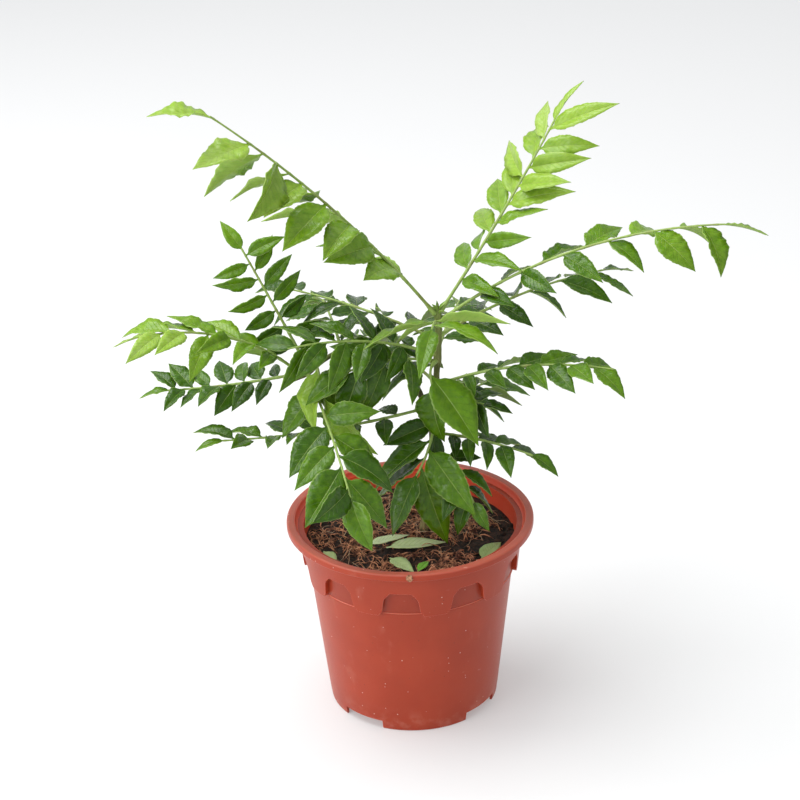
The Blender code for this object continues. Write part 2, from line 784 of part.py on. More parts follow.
def make_sprig(sprig, leaflets):
    """The stalk and its leaflets, joined into one solid."""
    body = add_object("sprig_" + sprig.name, *rachis_tube(sprig), sprig.colour)
    blades = [
        add_object(f"{sprig.name}_leaflet_{index}", *leaflet_solid(leaflet), sprig.colour)
        for index, leaflet in enumerate(leaflets)
    ]
    join_or_cut(body, blades, "UNION")
    smooth(body, 50.0)
    return body


def build():
    clear_scene()
    centre = Vector((0.0, 0.0, 0.0))
    pot = make_pot()
    soil = make_soil()
    attach(soil, centre, pot, centre)
    stems = []
    for stem in STEMS:
        body = add_object(stem.name, *stem_tube(stem), "bark")
        smooth(body, 50.0)
        attach(body, Vector(stem.points[1]), pot, centre)
        stems.append(body)
    grown, leaves = grow()
    for sprig, leaflets in grown:
        stem = stems[sprig.stem]
        attach(make_sprig(sprig, leaflets), rachis_line(sprig)[0][0], stem, stem.location)
    for index, leaf in enumerate(leaves):
        body = add_object(f"fallen_leaf_{index + 1}", *leaflet_solid(leaf), "fallen_leaf")
        smooth(body, 50.0)
        attach(body, leaf.root, soil, centre)


build()
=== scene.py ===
# %% [markdown]
# # A young curry leaf plant in its nursery pot
#
# This lesson dresses a plain solid model of a potted curry leaf plant. The real plant has
# two thin stems, and from them rise feathery sprigs: each is a green stalk, the rachis,
# with pointed leaflets left and right. The frame gives every stem, sprig and pot at its
# real size and place. Here each of them gets its true surface.

import json
import math
import random
from collections import namedtuple

import bmesh
import bpy
import numpy as np
from mathutils import Matrix, Vector, noise
from mathutils.kdtree import KDTree

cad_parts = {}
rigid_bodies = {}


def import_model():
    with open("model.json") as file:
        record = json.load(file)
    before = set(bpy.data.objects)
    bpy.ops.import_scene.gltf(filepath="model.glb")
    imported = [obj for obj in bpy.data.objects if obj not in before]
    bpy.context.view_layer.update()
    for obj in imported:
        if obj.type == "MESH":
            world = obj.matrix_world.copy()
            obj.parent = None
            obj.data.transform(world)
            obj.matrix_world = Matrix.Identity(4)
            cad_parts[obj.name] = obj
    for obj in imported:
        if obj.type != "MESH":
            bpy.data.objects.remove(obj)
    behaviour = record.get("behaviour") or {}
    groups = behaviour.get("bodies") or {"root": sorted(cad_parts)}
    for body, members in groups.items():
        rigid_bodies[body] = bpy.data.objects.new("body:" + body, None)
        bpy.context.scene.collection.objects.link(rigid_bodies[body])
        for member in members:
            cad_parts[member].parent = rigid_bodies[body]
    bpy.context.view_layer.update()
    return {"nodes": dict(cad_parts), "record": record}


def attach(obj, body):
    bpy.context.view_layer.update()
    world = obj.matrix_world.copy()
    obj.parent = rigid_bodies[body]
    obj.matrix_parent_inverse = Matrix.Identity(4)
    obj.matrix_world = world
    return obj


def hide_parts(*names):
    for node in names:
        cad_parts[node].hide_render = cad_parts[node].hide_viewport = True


for thing in list(bpy.data.objects):
    bpy.data.objects.remove(thing)
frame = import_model()

MM = 0.001

# %% [markdown]
# ## The camera
#
# The plant is seen from a little above, as one looks at a pot on a table. A long lens
# keeps the pot's sides nearly parallel. The place and the tilt were worked out from the
# oval of the rim, whose real width is known.

# %% Place the camera
CAMERA_PLACE = (-0.004559, -1.214184, 0.779055)
LOOKING_DOWN = math.radians(24.792)
CAMERA_ROLL = math.radians(-1.567)
SENSOR_WIDTH = 36.0
LENS = 92.46

aim = Matrix.Rotation(math.pi / 2 - LOOKING_DOWN, 3, "X") @ Matrix.Rotation(CAMERA_ROLL, 3, "Z")
bpy.ops.object.select_all(action="DESELECT")
bpy.ops.object.camera_add(location=CAMERA_PLACE, rotation=aim.to_euler())
camera = bpy.context.object
camera.data.sensor_width = SENSOR_WIDTH
camera.data.lens = LENS
bpy.context.scene.camera = camera
print("camera looks down", round(math.degrees(LOOKING_DOWN), 1), "degrees")

# %% [markdown]
# ## Shader maths
#
# A finish is a web of nodes. Written as sums, it is easier to read: `1 - mask * 0.5` adds
# the two Math nodes by itself. One small class wraps an output, and one method makes any
# other node.


# %% A finish and its wires
def paint(red, green, blue):
    """A colour as a screen shows it, from 0 to 255, as the shader wants it."""
    shares = [value / 255 for value in (red, green, blue)]
    return (*[s / 12.92 if s <= 0.04045 else ((s + 0.055) / 1.055) ** 2.4 for s in shares], 1.0)


class Wire:
    """An output of a node. Sums with it add Math nodes to its finish."""

    def __init__(self, finish, socket):
        self.finish = finish
        self.socket = socket

    def maths(self, operation, *values):
        inputs = dict(enumerate(values))
        return self.finish.node("ShaderNodeMath", {"operation": operation}, inputs)

    def __add__(self, other):
        return self.maths("ADD", self, other)

    def __sub__(self, other):
        return self.maths("SUBTRACT", self, other)

    def __rsub__(self, other):
        return self.maths("SUBTRACT", other, self)

    def __mul__(self, other):
        return self.maths("MULTIPLY", self, other)

    def __abs__(self):
        return self.maths("ABSOLUTE", self)

    __radd__ = __add__

    def rest(self):
        """What is left after the whole number is taken off."""
        return self.maths("FRACT", self)

    def ramp(self, low, high):
        """Rises softly from 0 at low to 1 at high, or falls if high is the smaller."""
        settings = {"interpolation_type": "SMOOTHSTEP"}
        inputs = {0: self, 1: low, 2: high, 3: 0.0, 4: 1.0}
        if low > high:
            inputs.update({1: high, 2: low, 3: 1.0, 4: 0.0})
        return self.finish.node("ShaderNodeMapRange", settings, inputs)


class Finish:
    """A material and its Principled shader."""

    def __init__(self, name):
        self.material = bpy.data.materials.new(name)
        self.material.use_nodes = True
        self.tree = self.material.node_tree
        self.shader = self.tree.nodes["Principled BSDF"]

    def feed(self, socket, value):
        if isinstance(value, Wire):
            self.tree.links.new(value.socket, socket)
        else:
            socket.default_value = value

    def node(self, kind, settings=None, inputs=None, output=0):
        """A node of that kind, its settings made first, then its inputs. Gives one output."""
        made = self.tree.nodes.new(kind)
        settings = dict(settings or {})
        stops = settings.pop("stops", ())
        for name, value in settings.items():
            setattr(made, name, value)
        for index, (place, colour) in enumerate(stops):
            ramp = made.color_ramp
            stop = ramp.elements[index] if index < 2 else ramp.elements.new(place)
            stop.position, stop.color = place, colour
        for name, value in (inputs or {}).items():
            self.feed(made.inputs[name], value)
        return Wire(self, made.outputs[output])

    def surface(self, **inputs):
        """Sets the shader's sockets, with _ for a space in their names."""
        for name, value in inputs.items():
            self.feed(self.shader.inputs[name.replace("_", " ")], value)
        return self.material

    def place(self):
        return self.node("ShaderNodeTexCoord", output="Object")

    def cloud(self, scale, detail, stretch=(1, 1, 1)):
        """Soft noise over the piece, about 0.5 on average, with so many swells a metre."""
        where = self.node("ShaderNodeMapping", {}, {"Vector": self.place(), "Scale": stretch})
        inputs = {"Vector": where, "Scale": scale, "Detail": detail}
        return self.node("ShaderNodeTexNoise", {}, inputs)

    def mix(self, share, first, second):
        """The first colour, with that share of the second."""
        inputs = {0: share, 6: first, 7: second}
        return self.node("ShaderNodeMix", {"data_type": "RGBA"}, inputs, output=2)

    def part_of(self, vector, index):
        """One of the three parts of a vector or a colour."""
        parts = self.node("ShaderNodeSeparateXYZ", {}, {0: vector})
        return Wire(self, parts.socket.node.outputs[index])

    def vector_maths(self, operation, *values, output="Vector"):
        settings = {"operation": operation}
        return self.node("ShaderNodeVectorMath", settings, dict(enumerate(values)), output=output)

    def bump(self, height, distance, strength):
        inputs = {"Height": height, "Distance": distance, "Strength": strength}
        return self.node("ShaderNodeBump", {}, inputs)


print("shader maths ready")

# %% [markdown]
# ## The growth rule
#
# The frame's sprigs follow a rule, and the fine leaves must follow the same one, so its
# values are repeated here. Each stem is a smooth curve through a few points. Each sprig
# leaves its stem at a height, in a direction, and sags along its length. Lengths are in
# millimetres and angles in degrees. Azimuth turns from +X towards +Y, and rise is above
# the horizon. Two more values say how light the leaflets are, at the sprig's root and at
# its tip, from 0 for an old dark leaf to 1 for a young lime one. Part of this is the
# leaf's age, and part is painted shade: leaflets near the stem, and sprigs inside or at
# the back of the plant, are made darker to stand for the shade within the foliage.

# %% Stems and sprigs
SOIL_LEVEL = 0.1175
SOIL_SINK = 0.040
GAP = 0.0004
RACHIS_ROOT_RADIUS = 0.0011
BARE_SHARE = 0.16

Stem = namedtuple("Stem", "name points root_radius tip_radius")
Sprig = namedtuple(
    "Sprig",
    "name stem at azimuth rise sag sweep length count blade slim spread hang roll bare_tip "
    "light_root light_tip",
)
Leaflet = namedtuple("Leaflet", "root along across face length width curl fold")

STEMS = (
    Stem(
        "main_stem",
        (
            (0.006, 0.003, SOIL_LEVEL - SOIL_SINK),
            (0.009, 0.007, SOIL_LEVEL),
            (0.0155, 0.012, 0.165),
            (0.017, 0.012, 0.195),
            (0.021, 0.012, 0.248),
            (0.0214, 0.012, 0.273),
        ),
        0.0032,
        0.0021,
    ),
    Stem(
        "side_stem",
        (
            (0.024, 0.034, SOIL_LEVEL - SOIL_SINK),
            (0.022, 0.032, SOIL_LEVEL),
            (0.019, 0.033, 0.165),
            (0.007, 0.033, 0.212),
            (-0.015, 0.028, 0.242),
            (-0.043, 0.018, 0.246),
            (-0.068, 0.010, 0.233),
        ),
        0.0029,
        0.0018,
    ),
)

#     name, stem, at, azimuth, rise, sag, sweep, length, count, blade, slim, spread, hang,
#     roll, bare_tip, light_root, light_tip
SPRIGS = (
    Sprig("crown_left", 0, 0.985, 200, 54, 15, 0, 204, 15, 46, 0.54, 32, 0.9, -8, 0.10, 0.52, 0.76),
    Sprig("crown_upright", 0, 0.995, 25, 51, -2, 10, 140, 18, 44, 0.33, 54, 0.1, 0, 0, 0.48, 0.80),
    Sprig("crown_right", 0, 0.963, 350, 39, 36, 0, 194, 12, 37, 0.46, 42, 0.3, 15, 0, 0.28, 0.64),
    Sprig("crown_back", 0, 0.899, 26, 20, 22, 0, 125, 10, 35, 0.47, 55, 0.2, 0, 0, 0.08, 0.25),
    Sprig("crown_front", 0, 0.942, 262, 40, 48, 0, 34, 5, 48, 0.36, 86, 0.0, 6, 0, 0.84, 0.46),
    Sprig("crown_dark", 0, 0.878, 158, 20, 16, 0, 105, 10, 35, 0.42, 55, 0.1, 0, 0, 0.06, 0.20),
    Sprig("mid_right", 0, 0.674, 342, 25, 29, 0, 118, 15, 28, 0.46, 44, 0.1, 10, 0, 0.22, 0.38),
    Sprig("mid_left", 0, 0.813, 197, 26, 32, 0, 100, 14, 34, 0.42, 55, 0.1, -38, 0, 0.18, 0.36),
    Sprig("mid_front", 0, 0.792, 238, -6, 52, 62, 24, 3, 58, 0.56, 52, 0.3, 0, 0, 0.32, 0.40),
    Sprig("mid_low", 0, 0.781, 206, 22, 34, 0, 62, 7, 45, 0.42, 48, 0.5, -20, 0, 0.22, 0.34),
    Sprig("mid_dark", 0, 0.621, 328, 8, 10, 0, 34, 6, 28, 0.50, 55, 0.0, 10, 0, 0.05, 0.15),
    Sprig("low_right", 0, 0.45, 335, 4, 16, 0, 68, 11, 29, 0.42, 50, 0.1, 0, 0, 0.16, 0.28),
    Sprig("low_front", 0, 0.573, 268, -38, 8, -45, 46, 7, 55, 0.42, 60, 0.6, -8, 0, 0.24, 0.34),
    Sprig("low_corner", 0, 0.385, 297, 0, 40, 0, 56, 8, 31, 0.45, 55, 0.3, 10, 0, 0.14, 0.24),
    Sprig("low_left", 0, 0.578, 195, -8, -14, 0, 140, 14, 30, 0.42, 60, -0.35, -4, 0, 0.20, 0.36),
    Sprig("low_small", 0, 0.171, 300, 30, 40, 0, 22, 5, 16, 0.45, 55, 0.2, 0, 0, 0.30, 0.40),
    Sprig("side_bright", 1, 0.945, 282, 10, 84, 0, 38, 5, 50, 0.44, 14, 1.1, 0, 0, 0.66, 0.74),
    Sprig("side_up", 1, 0.97, 165, 64, 2, 0, 90, 14, 28, 0.38, 74, 0.3, -60, 0, 0.22, 0.46),
    Sprig("side_pale", 1, 1.00, 203, 48, 48, 0, 112, 13, 36, 0.40, 42, -0.1, -5, 0, 0.52, 0.74),
    Sprig("side_left", 1, 0.975, 172, -14, -14, 12, 88, 14, 26, 0.5, 62, -0.25, -22, 0, 0.14, 0.30),
    Sprig("side_front", 1, 0.98, 287, -14, 26, 0, 106, 12, 42, 0.50, 58, 0.2, 0, 0, 0.26, 0.32),
    Sprig("side_back", 1, 0.84, 100, 12, 20, 0, 80, 9, 32, 0.45, 55, 0.1, 0, 0, 0.08, 0.22),
    Sprig("back_high", 0, 0.835, 80, 2, 12, 0, 100, 10, 36, 0.45, 55, 0.1, 0, 0, 0.10, 0.26),
    Sprig("back_mid", 0, 0.685, 118, 6, 20, 0, 110, 10, 36, 0.45, 55, 0.1, 0, 0, 0.08, 0.22),
    Sprig("back_low", 0, 0.535, 60, 0, 14, 0, 84, 9, 35, 0.45, 55, 0.1, 0, 0, 0.08, 0.22),
)
print(len(STEMS), "stems and", len(SPRIGS), "sprigs")


# %% Curves through points
CURVE_STEPS = 12
STEM_SAMPLES = 80
RACHIS_STEPS = 24
LEAST_SLANT = 0.35


def smooth_line(points, count):
    """Points spread evenly along a smooth curve through the given ones."""
    given = [Vector(p) for p in points]
    ends = [2 * given[0] - given[1], *given, 2 * given[-1] - given[-2]]
    fine = []
    for a, b, c, d in zip(ends, ends[1:], ends[2:], ends[3:]):
        for step in range(CURVE_STEPS):
            t = step / CURVE_STEPS
            bend = (2 * a - 5 * b + 4 * c - d) * t**2 + (3 * b - a - 3 * c + d) * t**3
            fine.append(0.5 * (2 * b + (c - a) * t + bend))
    fine.append(given[-1])
    lengths = np.cumsum([0.0] + [(q - p).length for p, q in zip(fine, fine[1:])])
    wanted = np.linspace(0.0, lengths[-1], count)
    array = np.array([tuple(p) for p in fine])
    return [Vector([np.interp(w, lengths, array[:, axis]) for axis in range(3)]) for w in wanted]


def stem_radius(stem, share):
    return stem.root_radius + (stem.tip_radius - stem.root_radius) * share


def above_soil(stem, at):
    """Where a sprig leaves its stem: 0 is at the soil and 1 at the stem's tip."""
    line = smooth_line(stem.points, STEM_SAMPLES)
    bare = [p for p in line if p.z >= SOIL_LEVEL]
    place = at * (len(bare) - 1)
    low = min(int(place), len(bare) - 2)
    point = bare[low].lerp(bare[low + 1], place - low)
    return point, (bare[low + 1] - bare[low]).normalized()


def heading(azimuth, rise):
    """The direction at so many degrees round from +X and above the horizon."""
    turn, lift = math.radians(azimuth), math.radians(rise)
    level = math.cos(lift)
    return Vector((level * math.cos(turn), level * math.sin(turn), math.sin(lift)))


def rachis_line(sprig):
    """The sprig's stalk: its points, and at each one its direction and upper side."""
    stem = STEMS[sprig.stem]
    centre, stem_ahead = above_soil(stem, sprig.at)
    first = heading(sprig.azimuth, sprig.rise)
    along_stem = abs(first.dot(stem_ahead))
    off_stem = max(math.sqrt(1 - along_stem**2), LEAST_SLANT)
    reach = (stem_radius(stem, sprig.at) + GAP + RACHIS_ROOT_RADIUS * along_stem) / off_stem
    line, aheads, uppers = [centre + first * reach], [], []
    for step in range(RACHIS_STEPS + 1):
        azimuth = sprig.azimuth + sprig.sweep * step / RACHIS_STEPS
        rise = sprig.rise - sprig.sag * step / RACHIS_STEPS
        ahead = heading(azimuth, rise)
        upper = heading(azimuth, rise + 90.0)
        aheads.append(ahead)
        uppers.append(Matrix.Rotation(math.radians(sprig.roll), 3, ahead) @ upper)
        if step < RACHIS_STEPS:
            line.append(line[-1] + ahead * MM * sprig.length / RACHIS_STEPS)
    return line, aheads, uppers


print("the longest stalk is", max(sprig.length for sprig in SPRIGS), "mm")

# %% [markdown]
# ## Where each leaflet sits
#
# The rule sets the leaflets left and right in turn. A sprig's name is the seed of its draws.
# The last leaflet points ahead and is a little smaller. In the frame, a leaflet that met its
# neighbour was turned or swung by a few fixed steps until it was clear. The tip of every
# frame leaflet is a corner of its solid, so the steps are found again by looking which of
# them puts the tip on such a corner.


# %% The leaflets that the frame holds
SPREAD_CHANGE = 13
END_SPREAD = 4
END_BACK = 0.002
END_SIZE = 0.80
END_HANG = 0.3
ROOT_SIZE = 0.62
SIZE_CHANCE = 0.12
CURLS = (12, 52)
FOLDS = (8, 26)
TIPPING = 28
SLIM_CHANCE = (0.88, 1.12)
SIZES = (1.0, 0.8)
TURNS = (0, -10, 10, -20, 20, -32, 32, -45, 45)
SWINGS = (0, -10, 10, -20, 20)
FRAME_HALF_BLADE = 0.00035
TIP_MATCH = 0.00006


def leaflet_places(sprig):
    """The leaflets of a sprig before any was moved clear."""
    draw = random.Random(sprig.name)
    line, aheads, uppers = rachis_line(sprig)
    last = len(line) - 1
    places = []
    for index in range(sprig.count):
        at_end = index == sprig.count - 1
        share = index / (sprig.count - 1)
        place = (BARE_SHARE + (1 - BARE_SHARE - sprig.bare_tip) * share) * last
        low = min(int(place), last - 1)
        root = line[low].lerp(line[low + 1], place - low)
        ahead, upper = aheads[low], uppers[low]
        if at_end:
            ahead, upper = aheads[-1], uppers[-1]
            root = line[-1] - ahead * END_BACK
        side = (-1) ** index * ahead.cross(upper)
        spread = END_SPREAD
        if not at_end:
            closing = SPREAD_CHANGE * (1 - 2 * share)
            spread = sprig.spread + closing + draw.uniform(-SPREAD_CHANGE, SPREAD_CHANGE)
        turn = math.radians(spread)
        grown = math.sin(math.pi * min(0.15 + 0.62 * share, 0.5))
        size = END_SIZE if at_end else ROOT_SIZE + (1 - ROOT_SIZE) * grown
        length = MM * sprig.blade * (size + draw.uniform(-SIZE_CHANCE, SIZE_CHANCE))
        fall = sprig.hang * (END_HANG + (0 if at_end else share)) * (0.5 + draw.random())
        along = math.cos(turn) * ahead + math.sin(turn) * side + Vector((0, 0, -fall))
        along.normalize()
        curl = math.radians(draw.uniform(*CURLS))
        fold = math.radians(draw.uniform(*FOLDS))
        tip_over = Matrix.Rotation(math.radians(draw.uniform(-TIPPING, TIPPING)), 3, along)
        shape = (length, length * sprig.slim * draw.uniform(*SLIM_CHANCE), curl, fold)
        places.append((share, root, ahead, along, tip_over @ upper, shape))
    return places


def leaflet_tip(leaflet):
    """The tip of a leaflet that curls down, and the way its upper face looks there."""
    forward = math.sin(leaflet.curl) / leaflet.curl
    drop = (1 - math.cos(leaflet.curl)) / leaflet.curl
    face = math.cos(leaflet.curl) * leaflet.face + math.sin(leaflet.curl) * leaflet.along
    tip = leaflet.root + leaflet.length * (forward * leaflet.along - drop * leaflet.face)
    return tip, face


def node_corners(name):
    mesh = frame["nodes"][name].data
    corners = KDTree(len(mesh.vertices))
    for vert in mesh.vertices:
        corners.insert(vert.co, vert.index)
    corners.balance()
    return corners


def fitted(place, corners):
    """The leaflet as the frame has it, or None where the frame left it out."""
    _, root, ahead, along, upper, (length, width, curl, fold) = place
    for size in SIZES:
        for swing in SWINGS:
            swung = Matrix.Rotation(math.radians(swing), 3, upper) @ along
            for turn in TURNS:
                rotate = Matrix.Rotation(math.radians(turn), 3, ahead)
                way, top = rotate @ swung, rotate @ upper
                face = (top - top.dot(way) * way).normalized()
                leaflet = Leaflet(
                    root, way, face.cross(way), face, length * size, width * size, curl, fold
                )
                tip, tip_face = leaflet_tip(leaflet)
                if corners.find(tip + tip_face * FRAME_HALF_BLADE)[2] < TIP_MATCH:
                    return leaflet
    return None


foliage = {}
for sprig in SPRIGS:
    corners = node_corners("sprig_" + sprig.name)
    found = [(place[0], fitted(place, corners)) for place in leaflet_places(sprig)]
    foliage[sprig.name] = [(share, leaflet) for share, leaflet in found if leaflet]
print(sum(len(leaflets) for leaflets in foliage.values()), "leaflets found in the frame")

# %% [markdown]
# ## Tools for modelling by hand
#
# Blender's operators act on what is selected, so each step starts by choosing one object,
# and, in edit mode, the points or faces that it is about.


# %% Choosing objects and their parts
def only(thing):
    """Makes one object the selected and the active one."""
    bpy.ops.object.select_all(action="DESELECT")
    thing.select_set(True)
    bpy.context.view_layer.objects.active = thing


def pick(kind, chosen):
    """In edit mode, selects the points, edges or faces that chosen says yes to."""
    bpy.ops.mesh.select_mode(type=kind)
    bpy.ops.mesh.select_all(action="DESELECT")
    mesh = bpy.context.edit_object.data
    shape = bmesh.from_edit_mesh(mesh)
    for part in {"VERT": shape.verts, "EDGE": shape.edges, "FACE": shape.faces}[kind]:
        if chosen(part):
            part.select_set(True)
    shape.select_flush_mode()
    bmesh.update_edit_mesh(mesh)


def modify(thing, kind, **settings):
    """Adds a modifier and applies it."""
    only(thing)
    bpy.ops.object.modifier_add(type=kind)
    modifier = thing.modifiers[-1]
    for name, value in settings.items():
        setattr(modifier, name, value)
    bpy.ops.object.modifier_apply(modifier=modifier.name)


def joined(things, name):
    """Many objects made one."""
    only(things[0])
    for thing in things:
        thing.select_set(True)
    bpy.ops.object.join()
    things[0].name = name
    things[0].data.name = name
    return things[0]


def in_place(thing):
    """Moves the object's place and turn into its mesh."""
    only(thing)
    bpy.ops.object.transform_apply(location=True, rotation=True, scale=True)
    return thing


def dress(thing, finish, slot, *nodes):
    """Gives a finished piece its material and its body, and hides the solids that it stands for."""
    if finish:
        thing.data.materials.clear()
        thing.data.materials.append(finish)
    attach(thing, "root")
    if nodes:
        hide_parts(*nodes)
    return thing


print("modelling tools ready")

# %% [markdown]
# ## One leaflet, modelled once
#
# A curry leaflet is a thin pointed blade on a tiny stalk. It is widest a third of the way
# along, and its midrib is a keel below. It starts as a flat square grid, two units wide.
# Each row across is pinched to the outline's width and moved to its place, so that the blade
# is one unit long, and the last row is merged into the tip. A finished row is lifted, so
# that it isn't picked again with a later one, and all of them are let down at the end. Two
# rows make one tooth of the margin. Solidify then gives the blade two faces. A long blade
# and a short one are stretched from this one later, so a unit here isn't a metre.

# %% Pinch a grid into a blade
TEETH_START = 0.12
TOOTH_STEP = 0.03
TEETH = [TEETH_START + TOOTH_STEP * step for step in range(29)]
STATIONS = (0, 0.05, 0.09, *TEETH, 1)
STALK_SHARE = 0.08
STALK_HALF_WIDTH = 0.10
WIDEST_AT = 0.33
ROUNDING = 0.60
POINTING = 1.22
LIFTED = 0.01
NEAR = 0.001
BLADE_THICKNESS = 0.00042
KEEL_DEPTH = 0.00030


def half_outline(share):
    """Half width of the blade as a share of its widest, from stalk to tip."""
    if share <= STALK_SHARE:
        return STALK_HALF_WIDTH
    t = (share - STALK_SHARE) / (1 - STALK_SHARE)
    shape = t**ROUNDING * (1 - t) ** POINTING
    widest = WIDEST_AT**ROUNDING * (1 - WIDEST_AT) ** POINTING
    return max(STALK_HALF_WIDTH * (1 - t), shape / widest)


rows = len(STATIONS) - 1
bpy.ops.object.select_all(action="DESELECT")
bpy.ops.mesh.primitive_grid_add(
    x_subdivisions=rows, y_subdivisions=4, size=2.0, location=(0, 0, 0), calc_uvs=True
)
blade = bpy.context.object
blade.name = "blade"
bpy.ops.object.mode_set(mode="EDIT")
for index, station in enumerate(STATIONS):
    column = -1.0 + 2.0 * index / rows
    pick("VERT", lambda vert: abs(vert.co.x - column) < LIFTED and abs(vert.co.z) < NEAR)
    bpy.ops.transform.resize(value=(1.0, max(half_outline(station), NEAR), 1.0))
    bpy.ops.transform.translate(value=(station - column, 0.0, LIFTED))
pick("VERT", lambda vert: vert.co.x > 0.999)
bpy.ops.mesh.merge(type="CENTER")
bpy.ops.mesh.select_all(action="SELECT")
bpy.ops.transform.translate(value=(0.0, 0.0, -LIFTED))
pick("EDGE", lambda edge: all(abs(vert.co.y) < NEAR for vert in edge.verts))
bpy.ops.mesh.mark_sharp()
bpy.ops.object.mode_set(mode="OBJECT")
modify(blade, "SOLIDIFY", thickness=BLADE_THICKNESS, offset=0.0)
print("blade:", len(blade.data.polygons), "faces")

# %% [markdown]
# The keel is pulled down from the middle of the lower face. Then each point learns two
# things that the finish will want: how far along and across the blade it is, as a UV map,
# and whether it is on the lower side, as a colour.

# %% Keel, map and sides
bpy.ops.object.mode_set(mode="EDIT")
pick("VERT", lambda vert: vert.co.z < 0 and abs(vert.co.y) < NEAR and vert.co.x < 0.95)
bpy.ops.transform.translate(value=(0.0, 0.0, -KEEL_DEPTH))
bpy.ops.object.mode_set(mode="OBJECT")
blade.data.shade_smooth()
blade_map = blade.data.uv_layers[0]
blade_map.name = "blade"
for loop in blade.data.loops:
    blade_map.uv[loop.index].vector.x = blade.data.vertices[loop.vertex_index].co.x
growth = blade.data.color_attributes.new("growth", "FLOAT_COLOR", "POINT")
for vert in blade.data.vertices:
    growth.data[vert.index].color = (0.0, 0.0, 1.0 if vert.co.z < 0 else 0.0, 1.0)
flat_points = np.array([vert.co for vert in blade.data.vertices])
flat_tone_and_shade = np.array([entry.color for entry in growth.data])
blade.hide_render = True
print("blade points:", len(flat_points))

# %% [markdown]
# ## Bending the blade
#
# No two leaflets are alike. Each copy is stretched to its length and width, folded along
# its midrib like an open book, curled down towards its tip, waved a little along its
# margins, and twisted by a few degrees. Slow waves and quick ones lift the margin, and every
# second row is drawn in a little, which gives the fine blunt teeth.


# %% Bend one copy to its place
TWIST = 14
SLOW_WAVES = (1.2, 2.4)
QUICK_WAVES = (4.5, 7.5)
SLOW_LIFT = (0.03, 0.10)
QUICK_LIFT = (0.015, 0.035)
SWAY = (0.01, 0.03)
TOOTH_DEPTH = 0.018
SHADE_CHANCE = 0.10


def bent(leaflet, draw, wavy):
    """The points of the blade for one leaflet. wavy is 1 for a fresh one."""
    share, across, height = flat_points.T
    bend = leaflet.curl * share
    forward = np.sin(bend) / leaflet.curl
    drop = (1 - np.cos(bend)) / leaflet.curl
    along, face = np.array(leaflet.along), np.array(leaflet.face)
    side = np.array(leaflet.across)
    local_face = np.outer(np.cos(bend), face) + np.outer(np.sin(bend), along)
    middle = np.outer(forward, along) - np.outer(drop, face)
    twist = math.radians(draw.uniform(-TWIST, TWIST)) * share
    local_side = np.outer(np.cos(twist), side) + (np.sin(twist) * local_face.T).T
    local_face = (np.cos(twist) * local_face.T).T - np.outer(np.sin(twist), side)
    half = across * leaflet.width / 2
    far = np.abs(across)
    slow = draw.uniform(*SLOW_WAVES) * share + draw.random()
    quick = draw.uniform(*QUICK_WAVES) * share + 0.37 * np.sign(across) + draw.random()
    wave = wavy * draw.uniform(*SLOW_LIFT) * np.sin(2 * math.pi * slow) * np.sign(across)
    wave = wave + wavy * draw.uniform(*QUICK_LIFT) * np.sin(2 * math.pi * quick)
    half = half * (1 + draw.uniform(*SWAY) * np.sin(2 * math.pi * (quick + 0.25)))
    teeth = np.cos(math.pi * (share - TEETH_START) / TOOTH_STEP)
    half = half * (1 + np.where(share > TEETH_START, TOOTH_DEPTH * teeth, 0.0))
    lift = far * leaflet.width / 2 * math.sin(leaflet.fold) + leaflet.width * wave * far**2
    lift = lift + height
    points = np.array(leaflet.root) + leaflet.length * middle
    points = points + (half * math.cos(leaflet.fold) * local_side.T).T
    return points + (lift * local_face.T).T


def leaflet_object(name, leaflet, lightness, draw, wavy=1.0):
    """A copy of the blade, bent to its place."""
    mesh = blade.data.copy()
    mesh.vertices.foreach_set("co", bent(leaflet, draw, wavy).ravel())
    # Channel 0 is the leaflet's lightness, for its age and painted shade; 1 is a random value; 2
    # marks the lower side.
    colours = flat_tone_and_shade.copy()
    lightness += draw.uniform(-SHADE_CHANCE, SHADE_CHANCE)
    colours[:, 0] = min(max(lightness, 0.0), 1.0)
    colours[:, 1] = draw.random()
    mesh.color_attributes["growth"].data.foreach_set("color", colours.ravel())
    made = bpy.data.objects.new(name, mesh)
    bpy.context.scene.collection.objects.link(made)
    return made


print("a leaflet can be bent to any place")

# %% [markdown]
# ## The leaf finish
#
# A curry leaf is satin green above and duller below. A pale midrib runs to the tip, and
# about a dozen thin side veins leave it at a slant. The margin is a thin pale line. Old
# leaves are dark, young ones lime, so the colour follows the lightness that each leaflet
# was given; that lightness also holds painted shade, which darkens leaflets deep in the
# foliage. The lower side is paler, as it is on a real leaf, and paler still as painted
# sheen. All of it is drawn on the blade's own map: u runs along the blade, and v across
# it, with the midrib at a half.

# %% Leaf finish
VEIN_PAIRS = 11
VEIN_SLANT = 2.2
PALE_LINE = paint(186, 206, 120)


